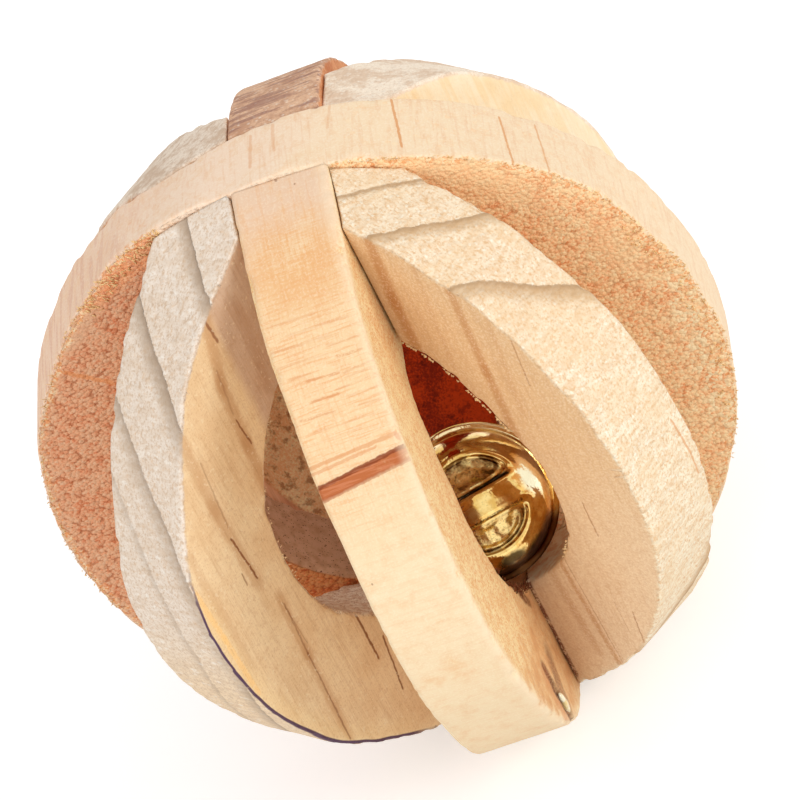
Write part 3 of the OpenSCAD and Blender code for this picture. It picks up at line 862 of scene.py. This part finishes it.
left = Pine("front_left_half_ring_pine", 40.0)
face_plane = left.frayed(left.on_face, 0.25)
slow = left.noise(0.2, 1.0)
mottle = left.noise(1.1, 3.0, 0.62, shift=8.0)
fuzz = left.noise(4.5, 1.0, 0.6, shift=3.0)
fibre = left.noise(1.0, 3.0, 0.6, stretch=(1.8, 1.8, 0.10), shift=6.0)
dust = left.noise(2.3, 1.0, 0.6, shift=13.0)
tone, mound = left.tufts(0.55, 5.0, stretch=(1.0, 0.6, 1.0))
# Painted shadow: the wedge of the face beside the front half ring is tinted greyer and darker, as
# the shadow that ring casts on it.
front_strap_shadow = (left.out + (slow - 0.5) * 1.5).rise(17.4, 15.8) * left.rise.rise(6.0, 14.0)
pencil_side = left.rise.rise(8.0, 4.0) * left.down.rise(3.2, 0.8) * left.out.rise(14.0, 22.0)
face_colour = slow.rise(0.35, 0.65).blend((243, 215, 172), (236, 203, 158)).paint(
    (fibre.rise(0.50, 0.74) * 0.40, (208, 166, 122)),
    (mottle.rise(0.50, 0.68) * 0.30, (210, 166, 122)))
face_colour = left.ruled(face_colour, face_plane, (198, 148, 100), (
    (2.2, 0.60, (16.9, 29.6), (18.9, 22.4), (19.6, 15.0), (20.4, 6.0)),
    (2.2, 0.50, (26.1, 23.0), (26.6, 13.0), (26.3, 2.6)),
    (1.8, 0.50, (24.9, -1.6), (25.3, -9.0), (25.7, -21.0)),
    (2.0, 0.30, (13.0, 27.0), (14.2, 18.0)), (1.6, 0.30, (31.8, 11.0), (31.6, -4.0)),
    (2.4, 0.25, (20.6, 2.0), (20.9, -6.0))), soft=0.95)
face_colour = face_colour.tint((0.76, 0.72, 0.84, 1.0), front_strap_shadow).paint(
    (pencil_side * 0.30, (250, 218, 156)))
face_colour = left.ruled(face_colour, face_plane, (134, 74, 38), (
    (0.36, 0.9, (26.5, 8.6), (26.1, 2.8)), (0.28, 0.6, (27.4, 4.6), (27.5, 3.2)),
    (0.32, 0.8, (19.4, 18.0), (19.1, 14.7)), (0.40, 0.9, (18.0, -11.0), (18.1, -17.0)),
    (0.34, 0.85, (16.4, -15.8), (17.3, -22.4)), (0.50, 0.75, (17.1, 29.7), (16.9, 26.6)),
    (0.30, 0.50, (24.8, -2.4), (25.2, -9.0)), (0.30, 0.60, (25.2, -9.0), (25.7, -21.0)),
    (0.30, 0.35, (25.4, 18.0), (26.2, 10.0)), (0.35, 0.30, (18.6, 24.0), (19.3, 19.0)),
    (0.20, 0.35, (24.9, -2.0), (24.7, -8.0))), soft=0.9)
face_colour = left.ruled(face_colour, face_plane, (255, 208, 136), (
    (0.95, 0.60, (33.2, 7.4), (32.85, 0.8), (32.5, -7.0)),), soft=0.9)
wall_colour = mottle.rise(0.40, 0.60).blend((255, 243, 224), (232, 205, 177)).paint(
    (fuzz.rise(0.46, 0.34) * 0.6, (170, 122, 84)))
face_colour = face_colour.paint(
    (fuzz.rise(0.46, 0.34) * 0.25, (196, 146, 100)),
    (dust.rise(0.63, 0.72) * 0.35, (250, 232, 198)),
    (left.hole * 0.95, wall_colour))

layer = left.out - left.across + (slow - 0.5) * 1.0 + (mottle - 0.5) * 0.8
torn = left.noise(1.0, 2.0, 0.6, stretch=(0.7, 0.45, 1.6), shift=25.0, turn=20.0)
strands = left.noise(3.4, 3.0, 0.7, stretch=(0.45, 1.0, 0.8), shift=33.0, turn=20.0)
rim_colour = left.rise.rise(6.0, -10.0).blend((237, 222, 206), (245, 219, 184)).paint(
    (torn.rise(0.36, 0.70) * 0.40, (214, 186, 156)),
    (strands.rise(0.50, 0.64) * 0.70, (206, 176, 146)),
    (tone.rise(0.60, 0.95) * mound.rise(0.4, 0.8) * 0.5, (252, 245, 234)),
    (fuzz.rise(0.50, 0.30) * 0.40, (202, 172, 144)),
    (dust.rise(0.58, 0.72) * 0.30, (226, 186, 144)),
    (mottle.rise(0.54, 0.68) * 0.35, (212, 180, 148)))
# Growth bands on the rim, partly darker wood and partly painted shade, each with a narrow painted
# shadow under its ledge.
rim_colour, relief = left.late_growth_and_shade(
    rim_colour, torn * 0.24 + mound * 0.06, layer, torn, ((180, 157, 134), (150, 126, 106)),
    0.7, 0.5, ((2.4, 1.2, 0.50), (10.8, 2.6, 0.90), (20.7, 2.8, 0.85), (28.6, 2.6, 0.65),
               (33.4, 1.4, 0.30)))
near_rim = (left.down + (mottle - 0.5) * 0.7).rise(0.5, 0.2)
ink_place = left.down - 0.25 + (left.noise(0.2, 1.0, shift=15.0) - 0.5) * 0.5
ink = abs(ink_place * (left.arc.rise(-24.0, 8.0) * 1.0 + 0.85)).rise(0.24, 0.12)
ink = ink * left.arc.rise(12.0, 4.0) * left.arc.rise(-37.0, -33.0) * left.level.rise(3.9, 4.3)
ink = ink * (1.0 - left.hole) * left.noise(0.8, 1.0, shift=17.0).rise(0.22, 0.32)
left.colour = face_colour.paint(
    (near_rim, rim_colour),
    (ink * 0.92, (68, 34, 76)))
left.height = left.rim * relief + (1.0 - left.rim) * fibre * 0.05

ring_piece(
    "front_left_half_ring", -132.0, -0.7, rim=(0.6, 0.3, 33.5), hole=(3.3, 0.8),
    ends=((0.0, -1.0, glued_at), (-1.0, 0.0, 3.0)), rough=(0.06, 0.03, 0.04), seed=31,
    material=left.finish(0.8), counts=(340, 30, 46),
    rim_edges=(
        {-70: 0.1, -50: 0.5, -38: 0.4, -27: 0.1, -20: 0.2, -12: 0.35, -5: 0.45, 4: 0.55, 13: 0.45,
         20: 0.0, 26: -0.3, 37: -0.2, 45: -0.3, 53: 0.0, 62: -0.1, 68: 0.5, 74: 1.2, 80: 1.6,
         90: 1.8},
        {-61: 0.3, -54: 0.0, -46: 0.0, -38: 0.1, -30: -0.1, -20: -0.1, -8: -0.15, 0: 0.0, 9: 0.25,
         18: 0.2, 27: -0.3, 34: -0.3, 42: 0.0, 48: 0.28, 55: 0.1, 63: 0.0, 72: 0.1, 80: 0.8,
         90: 1.4}),
    hole_edges=(
        {},
        {-45: -0.2, -20: 0.15, 0: 0.0, 20: 0.2, 50: 0.0}),
    torn=(
        ("rim", 1, (40, 80), 16, (0.1, 0.4), (0.2, 0.6), 0.06, (0.8, 0.4, 0.5), "rim"),
        ("hole", 1, (-40, 50), 50, (0.0, 0.3), (0.12, 0.35), 0.05, (0.6, 0.5, 0.5), "bright")))


# ---- Front right half ring ----------------------------------------------
# Half a disc of flat sawn board with the heart of the tree near its outer
# face, so that the yearly layers curve through the rim.

right = Pine("front_right_half_ring_pine", 60.0)
rim_plane = right.frayed(right.on_rim, 0.3)
face_plane = right.frayed(right.on_face, 0.25)
slow = right.noise(0.2, 1.0)
mottle = right.noise(1.1, 3.0, 0.62, shift=8.0)
fuzz = right.noise(4.5, 1.0, 0.6, shift=3.0)
fibre = right.noise(1.0, 3.0, 0.6, stretch=(1.8, 1.8, 0.10), shift=6.0)
dust = right.noise(2.3, 1.0, 0.6, shift=13.0)
tone, mound = right.tufts(0.42, 5.0)
joint_side = right.side.rise(-0.2, -0.8) * (fuzz * 0.6 + mottle * 0.4).rise(0.40, 0.50)
joint = right.stroke(face_plane, (13.2, -11.0), (13.3, -31.0), 1.0)
face_colour = right.rise.rise(10.0, -12.0).blend((231, 195, 150), (236, 206, 168)).paint(
    (fibre.rise(0.50, 0.74) * 0.35, (206, 162, 118)),
    (mottle.rise(0.48, 0.66) * 0.25, (214, 174, 134)))
face_colour = right.ruled(face_colour, face_plane, (196, 138, 84), (
    (2.4, 0.70, (15.9, 31.0), (15.0, 22.0), (14.6, 13.0)),
    (1.8, 0.60, (23.4, 25.0), (22.8, 14.0), (22.4, 4.0)),
    (1.0, 0.20, (20.0, 27.0), (18.6, 14.0)), (1.2, 0.25, (26.4, 21.0), (25.0, 9.0)),
    (1.8, 0.35, (17.2, -12.5), (18.4, -26.4)), (1.1, 0.60, (19.4, -12.0), (20.5, -28.0))),
    soft=0.95)
face_colour = right.ruled(face_colour, face_plane, (170, 110, 66), (
    (0.30, 0.55, (28.5, 20.8), (27.9, 13.3)), (0.30, 0.60, (26.9, -3.3), (26.8, -7.8)),
    (0.26, 0.60, (26.2, -19.0), (25.6, -24.0)), (0.24, 0.45, (20.3, -12.5), (21.1, -27.6)),
    (0.24, 0.30, (24.3, -18.0), (24.3, -22.0))), soft=0.9)
wall_colour = mottle.rise(0.40, 0.60).blend((255, 236, 206), (240, 200, 158))
face_colour = face_colour.paint(
    (fuzz.rise(0.46, 0.34) * 0.20, (200, 152, 108)),
    (fuzz.rise(0.52, 0.66) * 0.30, (255, 238, 212)),
    (right.hole * 0.95, wall_colour),
    (joint * joint_side * 0.85, (136, 66, 32)))

layer = right.out - right.across * 0.72 + (slow - 0.5) * 0.7 + (mottle - 0.5) * 0.6
torn = right.noise(1.1, 2.0, 0.6, stretch=(0.7, 0.5, 1.5), shift=25.0, turn=-20.0)
strands = right.noise(3.4, 3.0, 0.7, stretch=(0.45, 1.0, 0.8), shift=33.0, turn=-20.0)
grain_line = right.stroke(rim_plane, (2.2, 3.3), (-5.4, 3.7), 0.34)
rim_colour = right.rise.rise(20.0, -4.0).blend((248, 229, 200), (251, 238, 210)).paint(
    (torn.rise(0.36, 0.70) * 0.45, (226, 184, 136)),
    (strands.rise(0.50, 0.64) * 0.70, (222, 176, 124)),
    (tone.rise(0.55, 0.95) * mound.rise(0.4, 0.8) * 0.6, (255, 250, 232)),
    (fuzz.rise(0.50, 0.30) * 0.45, (228, 184, 134)),
    (dust.rise(0.58, 0.72) * 0.35, (226, 172, 118)),
    (slow.rise(0.50, 0.62) * 0.25, (240, 206, 160)),
    (grain_line * 0.7, (222, 158, 104)))
# Growth bands on the rim, partly darker wood and partly painted shade, each with a narrow painted
# shadow under its ledge.
rim_colour, relief = right.late_growth_and_shade(
    rim_colour, torn * 0.24 + mound * 0.08, layer, torn, ((202, 164, 121), (168, 132, 96)),
    0.6, 0.55, ((12.2, 0.9, 0.80), (18.9, 1.9, 0.90), (26.8, 2.3, 0.90)))
near_rim = (right.down + (mottle - 0.5) * 0.8).rise(0.5, 0.2)
right.colour = face_colour.paint((near_rim, rim_colour))
right.height = right.rim * relief + (1.0 - right.rim) * fibre * 0.05

ring_piece(
    "front_right_half_ring", -40.0, 0.3, rim=(0.5, -0.3, 34.6), hole=(4.9, -1.2),
    ends=((0.0, -1.0, glued_at), (1.0, 0.0, 7.1)), rough=(0.06, 0.02, 0.06), seed=41,
    material=right.finish(0.75), chip=0.35, counts=(340, 30, 46),
    rim_edges=(
        {-66: 0.3, -59: 0.0, -43: -0.1, -30: -0.3, -13: -0.3, 3: -0.3, 8: -0.1, 12: -0.35, 20: 0.0,
         25: -0.35, 34: 0.0, 39: -0.1, 43: 0.3, 48: -0.1, 52: -0.3, 57: 0.0, 70: -0.1, 78: 0.5,
         88: 1.0},
        {-60: 0.9, -51: 0.75, -43: 0.45, -33: 0.3, -27: 0.0, -21: 0.1, -12: -0.1, -4: 0.0, 6: -0.15,
         14: 0.1, 21: 0.4, 28: 0.6, 33: 0.0, 40: -0.2, 47: 0.0, 53: -0.5, 60: -0.9, 66: -1.0,
         76: -0.2, 88: 0.8}),
    hole_edges=(
        {-55: -0.2, -35: 0.26, 0: 0.0, 22: -0.4, 30: -0.6, 38: -0.5, 47: 0.0, 62: 0.4},
        {}),
    torn=(
        ("hole", -1, (20, 68), 60, (0.0, 0.2), (0.1, 0.28), 0.2, (0.6, 0.3, 0.3), "bright"),
        ("hole", -1, (-38, -26), 12, (0.0, 0.2), (0.15, 0.35), 0.14, (0.7, 0.4, 0.4), "bright"),
        ("rim", -1, (5.5, 5.8), 1, (0.4, 0.4), (2.2, 2.3), 0.24, (-1.0, 0.1, 0.03), "rim"),
        ("rim", -1, (4.0, 4.4), 1, (0.4, 0.4), (1.1, 1.2), 0.14, (-1.0, 0.15, 0.05), "rim"),
        ("rim", -1, (-30, 60), 40, (0.1, 0.3), (0.12, 0.35), 0.06, (0.8, 0.5, 0.5), "rim")))


# ---- Rear half rings ----------------------------------------------------
# Three more half rings on the back face of the full ring: dark heartwood in
# the middle, grey speckled sapwood on its left, smooth yellow pine on its right.

def plain_pine(name, rim_light, rim_dark, face_light, face_dark, wall_light, wall_dark,
               upright, shift):
    """Board with a rough rim, smoother faces and a furry hole. upright says that the grain
    runs up the face; otherwise it runs across the rim."""
    made = Pine(name, shift)
    stretch = (1.8, 1.8, 0.10) if upright else (1.8, 0.14, 1.8)
    slow = made.noise(0.2, 1.0)
    mottle = made.noise(1.1, 3.0, 0.62, shift=4.0)
    fuzz = made.noise(4.5, 1.0, 0.6, shift=6.0)
    fibre = made.noise(1.0, 3.0, 0.6, stretch=stretch, shift=2.0)
    tone, mound = made.tufts(0.40, 5.0)
    wall_colour = (fuzz * 0.4 + slow * 0.6).rise(0.60, 0.38).blend(wall_light, wall_dark)
    wall_colour = wall_colour.tint((0.55, 0.45, 0.40, 1.0), mottle.rise(0.48, 0.66))
    rim_colour = (slow * 0.5 + mottle * 0.5).rise(0.42, 0.60).blend(rim_light, rim_dark).paint(
        (fuzz.rise(0.46, 0.34) * 0.6, rim_dark),
        (tone.rise(0.6, 0.95) * mound.rise(0.4, 0.8) * 0.5, (252, 240, 224)))
    near_rim = (made.down + (mottle - 0.5) * 0.7).rise(0.5, 0.2)
    made.colour = (slow * 0.5 + fibre * 0.5).rise(0.40, 0.62).blend(face_light, face_dark).paint(
        (fuzz.rise(0.44, 0.34) * 0.15, face_dark),
        (made.hole, wall_colour),
        (near_rim, rim_colour))
    made.height = (made.rim + made.hole) * mound * 0.09 + mottle * 0.12
    return made


# Its hole wall is painted a deep saturated red: painted shade inside the ball, reddened as by light
# bounced off the wood round it.
rear = plain_pine("rear_half_ring_pine", (235, 191, 156), (204, 156, 125),
                  (226, 160, 112), (200, 124, 78), (206, 68, 9), (140, 34, 4),
                  False, 80.0)
saw = rear.noise(1.0, 2.0, 0.6, stretch=(1.1, 0.14, 2.4), shift=9.0)
saw_lines = saw.rise(0.50, 0.60) * rear.rim
rear.colour = rear.colour.paint((saw_lines * 0.65, (156, 110, 98)))
rear.height = rear.height + saw * rear.rim * 0.15
ring_piece(
    "rear_half_ring", 90.0, -2.0, rim=(0.0, -0.4, 34.6), hole=(2.5, 0.0),
    ends=((0.0, 1.0, glued_at),), rough=(0.06, 0.05, 0.04), seed=51, material=rear.finish(0.8),
    counts=(300, 26, 40),
    rim_edges=(
        {0: 0.0, 40: 0.5, 55: 0.6, 70: 0.45, 82: 0.3, 100: 0.3, -80: 0.0},
        {0: 0.0, 40: 0.5, 55: 0.6, 70: 0.45, 82: 0.3, 100: 0.3, -80: 0.0}))

rear_left = plain_pine("rear_left_half_ring_pine", (246, 228, 208), (214, 186, 160),
                       (240, 190, 142), (208, 152, 106), (255, 238, 190),
                       (240, 190, 138), True, 100.0)
ring_piece(
    "rear_left_half_ring", 141.0, -1.0, rim=(-1.0, 0.0, 34.6), hole=(3.5, 0.0),
    ends=((0.0, 1.0, glued_at), (-1.0, 0.0, 2.95)), rough=(0.06, 0.05, 0.04), seed=61,
    material=rear_left.finish(0.8), counts=(280, 26, 40),
    rim_edges=(
        {-60: 0.0, 10: 0.0, 35: -0.2, 55: -0.3, 70: -0.1, 82: 0.3},
        {-60: 0.0, 10: 0.0, 35: -0.15, 55: -0.1, 70: 0.0, 82: 0.2}))

rear_right = plain_pine("rear_right_half_ring_pine", (255, 238, 216), (231, 202, 174),
                        (255, 243, 212), (253, 230, 186), (255, 232, 190),
                        (240, 200, 150), True, 120.0)
ring_piece(
    "rear_right_half_ring", 45.0, -0.4, rim=(0.7, -0.5, 34.6), hole=(3.3, 0.0),
    ends=((0.0, 1.0, glued_at), (1.0, 0.0, 6.95)), rough=(0.06, 0.03, 0.04), seed=71,
    material=rear_right.finish(0.8), counts=(280, 26, 40),
    rim_edges=(
        {-60: 0.0, 11: 0.3, 18: 0.2, 25: 0.0, 37: 0.0, 46: 0.2, 52: 0.4, 60: 0.1, 67: -0.2,
         80: 0.0},
        {-60: 0.0, 30: 0.0, 41: -0.1, 55: 0.1, 63: 0.3, 80: 0.0}))


# ---- Bell ---------------------------------------------------------------
# A jingle bell pressed from thin brass sheet in two shells, crimped together
# at a flange. The upper one has a round dish with a bridge left across it, and
# the lower one the slot that lets the sound of its steel pellet out.

brass = Pine("bright_brass", 140.0)
across, along = brass.out, brass.across
inside, far, past_bridge = brass.arc, brass.level, brass.down
place = brass.frayed(brass.flat(across, along), 0.5, 1.4)
speckle = brass.noise(4.2, 3.0, 0.7)
smear = brass.noise(0.8, 3.0, 0.6, shift=3.0)
on_upper = across.rise(-1.0, -1.3)
on_lower = across.rise(1.0, 1.3)
in_dish = inside.rise(0.30, 0.60)
# Masks of painted shade in the dish: the upper D's wall, the groove inside the lower D's edge, and
# the crease at the foot of each wall.
wall_shade = inside.rise(0.0, 0.25) * inside.rise(1.2, 0.5) * past_bridge.rise(0.4, 1.2)
groove = inside.rise(0.05, 0.2) * inside.rise(0.75, 0.45) * past_bridge.rise(0.4, 1.2)
crease = past_bridge.rise(-0.02, 0.10) * past_bridge.rise(0.50, 0.28) * far.rise(4.7, 4.3)
# The brass colour over its own speckled tarnish. The dish floors are painted paler, partly as
# painted highlight. The wall, groove and crease masks darken it as painted shade, with the upper
# crease near black.
shiny = smear.rise(0.36, 0.64).blend((252, 220, 144), (230, 184, 100)).paint(
    (speckle.rise(0.54, 0.70) * 0.35, (150, 104, 44)),
    (in_dish * 0.60, (240, 214, 150)),
    (in_dish * smear.rise(0.50, 0.62) * 0.7, (140, 100, 48)),
    (in_dish * speckle.rise(0.56, 0.66) * 0.7, (62, 42, 18)),
    (wall_shade * on_upper * smear.rise(0.36, 0.56) * 0.9, (96, 56, 20)),
    (groove * on_lower * smear.rise(0.60, 0.44) * 0.7, (104, 60, 22)),
    (crease * on_upper * 0.96, (10, 7, 3)),
    (crease * on_lower * speckle.rise(0.40, 0.55) * 0.8, (40, 26, 10)))
# Dark spots over the dome and the bridge: painted shade on the lower dome and painted reflections
# of the brown wood round the bell. Where they lie, the brass is also rougher.
dark = 0.0
for centre, length, width, turn, strength, colour in (
        ((5.4, 5.0), 4.4, 2.6, -50.0, 0.60, (170, 100, 34)),
        ((6.4, 3.4), 4.4, 2.0, -62.0, 0.90, (60, 30, 9)),
        ((6.3, 0.4), 4.4, 1.6, -86.0, 0.90, (40, 20, 6)),
        ((-5.3, 3.0), 5.0, 1.3, 50.0, 0.50, (168, 116, 52)),
        ((0.5, -1.2), 2.2, 2.4, 0.0, 0.70, (150, 84, 28)),
        ((1.0, 2.6), 2.0, 2.4, 0.0, 0.45, (190, 120, 44))):
    spot = brass.spot(place, centre, length, width, turn, soft=0.8) * (1.0 - in_dish) * strength
    shiny = shiny.paint((spot, colour))
    dark = spot.math("MAXIMUM", spot, dark)
# Painted shade: the low side of the shell by the flange is near black, and also rougher.
low_rim = far.rise(6.5, 7.1) * across.rise(3.4, 5.2)
dark = dark.math("MAXIMUM", dark, low_rim)
# Painted highlight: a pale patch on the shoulder, and a pale line along the top of the flange as a
# painted reflection.
highlight_patch = brass.spot(place, (-0.2, 6.0), 6.0, 3.2, soft=0.8) * (1.0 - in_dish)
flange_top = far.rise(7.55, 7.75) * across.rise(0.0, -3.0)
shiny = shiny.paint(
    (low_rim * 0.95, (72, 28, 8)),
    (highlight_patch * 0.85, (255, 248, 214)),
    (flange_top * 0.7, (255, 240, 196)))
brass_bump = brass.wire.node("Bump", {
    "Height": in_dish * (speckle * 0.04 + brass.noise(0.5, 1.0, shift=8.0) * 0.9) + smear * 0.06,
    "Distance": 0.001, "Strength": 1.0})
brass_surface = brass.wire.node("BsdfPrincipled", {
    "Base Color": shiny, "Metallic": 1.0,
    "Roughness": speckle * 0.06 + in_dish * 0.14 + dark * 0.30 + 0.09, "Normal": brass_bump})
finish_material(brass.material, brass_surface)

bell_centre = np.array([5.28, -7.12, 24.91])
bell_turn, bell_lift, bell_spin = np.radians((-77.0, 37.0, 2.0))
bell_axis = np.array([math.cos(bell_lift) * math.cos(bell_turn),
                      math.cos(bell_lift) * math.sin(bell_turn), math.sin(bell_lift)])
level_side = np.array([-math.sin(bell_turn), math.cos(bell_turn), 0.0])
downhill = np.cross(level_side, bell_axis)
bridge_across = downhill * math.cos(bell_spin) + level_side * math.sin(bell_spin)
bridge_along = level_side * math.cos(bell_spin) - downhill * math.sin(bell_spin)


bell_radius = 7.5           # outside of the round shell, in mm
bell_inside = 7.1
shoulder_from = 4.48        # how far from the axis the shell's straight shoulder begins
dish_radius = 5.3
bridge_half = 1.3           # half the width of the bridge across the dish


def in_dish_by(across, along):
    """How far inside the pressed dish a place is: each half of it is a D between the dish's
    circle and the bridge's edge, with its corners rounded."""
    from_circle = dish_radius - np.hypot(across, along)
    from_bridge = np.abs(across) - bridge_half
    return (from_circle + from_bridge - np.sqrt((from_circle - from_bridge) ** 2 + 1.0)) / 2.0


def dish_drop(across, along):
    """How far the pressed dish lies below the round shell. Inside each D it falls steeply to a
    floor that is deepest in the middle; just outside, the sheet rolls up. In the lower one a
    second ridge runs inside the round edge."""
    far = np.hypot(across, along)
    inside = in_dish_by(across, along)
    wall = spread(inside, 0.0, 0.60)
    floor = 0.75 + 0.75 * spread(inside, 0.1, 1.5)
    lip = np.exp(-((inside + 0.28) / 0.24) ** 2)
    bridge = spread(np.abs(across), 1.4, 0.6) * spread(far, 5.2, 3.8)
    ridge = np.exp(-((inside - 0.80) / 0.20) ** 2) * spread(across, 2.0, 3.4)
    return wall * floor - 0.16 * lip - 0.22 * bridge - 0.30 * ridge


def shell_height(reach):
    """Height of the undished shell over its flange: a ball out to where the shoulder begins,
    then a straight shoulder, the ball's tangent there, that rounds off to a steep side."""
    ball = np.sqrt(bell_radius ** 2 - reach ** 2)
    shoulder = 6.015 - 0.745 * (reach - shoulder_from)
    side = 1.28 * ball
    soft = 0.3 * spread(reach, shoulder_from, 5.3)
    bent = (shoulder + side - np.sqrt((shoulder - side) ** 2 + soft)) / 2.0
    return np.where(reach < shoulder_from, ball, bent)


outer_tilt = np.radians(np.concatenate([np.linspace(0.35, 40.0, 100),
                                        np.linspace(41.0, 85.0, 50)]))[:, None]
flange = np.array([(7.56, 0.52), (7.66, 0.43), (7.80, 0.40), (8.00, 0.40), (8.12, 0.37),
                   (8.19, 0.28), (8.20, 0.16), (8.19, 0.03), (8.10, 0.00), (7.60, 0.00),
                   (7.12, 0.00)])
around = np.linspace(0.0, 2.0 * math.pi, 420, endpoint=False)[None, :]


def shell_grid(tilt, radius):
    """Rows of a round shell from its top outwards, with the dish pressed in."""
    reach = radius * np.sin(tilt) * np.ones_like(around)
    across = reach * np.cos(around)
    along = reach * np.sin(around)
    height = shell_height(reach * bell_radius / radius) * radius / bell_radius
    return across, along, height - dish_drop(across, along)


outer = shell_grid(outer_tilt, bell_radius)
edge = (flange[:, :1] * np.cos(around), flange[:, :1] * np.sin(around),
        flange[:, 1:] * np.ones_like(around))
inner = shell_grid(outer_tilt[::-3], bell_inside)
local = np.stack([np.concatenate(rows) for rows in zip(outer, edge, inner)], -1)
dent = 0.02 * lumps(local, 1.3, 81) + 0.008 * lumps(local, 0.5, 82)
local[..., 2] += dent
local_points = np.concatenate([local.reshape(-1, 3), [local[0].mean(axis=0),
                                                      local[-1].mean(axis=0)]])
across, along = local_points[:, 0], local_points[:, 1]
press = np.stack([in_dish_by(across, along), np.hypot(across, along),
                  np.abs(across) - bridge_half], -1)
bell_points = (bell_centre + local_points[:, :1] * bridge_across
               + local_points[:, 1:2] * bridge_along + local_points[:, 2:] * bell_axis)
lay_mesh("bell_top", bell_points, round_faces(*local.shape[:2]),
         {"board": local_points, "way": press}, brass.material, ["bell_bridge_shell"])


def speckled(name, scale, detail=2.0):
    """Empty material, a wire to build on and fine noise over the piece."""
    made, wire = new_material(name)
    place = wire.node("TexCoord", out=3)
    return made, wire, wire.node("TexNoise", {"Vector": place, "Scale": scale, "Detail": detail})


plain_brass, wire, tarnish = speckled("plain_brass", 400.0, 4.0)
finish_material(plain_brass, wire.node("BsdfPrincipled", {
    "Base Color": tarnish.rise(0.40, 0.66).blend((226, 184, 104), (170, 116, 50)),
    "Metallic": 1.0, "Roughness": tarnish * 0.15 + 0.10}))
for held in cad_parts["bell_slot_shell"].material_slots:
    held.material = plain_brass

steel_material, wire, speckle = speckled("dull_steel", 700.0)
finish_material(steel_material, wire.node("BsdfPrincipled", {
    "Base Color": speckle.blend((0.5, 0.5, 0.52, 1), (0.66, 0.66, 0.68, 1)),
    "Metallic": 1.0, "Roughness": speckle * 0.2 + 0.25}))
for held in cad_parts["bell_pellet"].material_slots:
    held.material = steel_material


# ---- Glue bead ----------------------------------------------------------
# A bead of clear hot glue that set in the split at the foot of the strap.

glue_material, wire, cloud = speckled("set_glue", 900.0)
finish_material(glue_material, wire.node("BsdfPrincipled", {
    "Base Color": cloud.rise(0.40, 0.60).blend((255, 246, 210), (240, 212, 142)),
    "Roughness": cloud * 0.1 + 0.12, "Coat Weight": 0.6}))
along = np.sin(np.linspace(-1.5, 1.5, 44))[:, None]
turn = np.linspace(0.0, 2.0 * math.pi, 28, endpoint=False)[None, :]
swell = np.sqrt(np.maximum(1.0 - along ** 2, 0.0)) * (1.0 + 0.12 * np.sin(5.0 * along))
bead = np.stack([6.98 + 0.36 * swell * np.cos(turn), 0.10 * along - 21.60
                 + 0.50 * swell * np.sin(turn), 8.9 - 1.45 * along + 0.0 * turn], -1)
bead = bead + 0.09 * np.stack([lumps(bead, 0.7, 91), lumps(bead, 0.7, 92), 0.0 * bead[..., 0]], -1)
bead_points = np.concatenate([bead.reshape(-1, 3), [bead[0].mean(axis=0), bead[-1].mean(axis=0)]])
lay_mesh("glue_bead", bead_points, round_faces(*bead.shape[:2]), {},
         glue_material, ["glue_bead"])
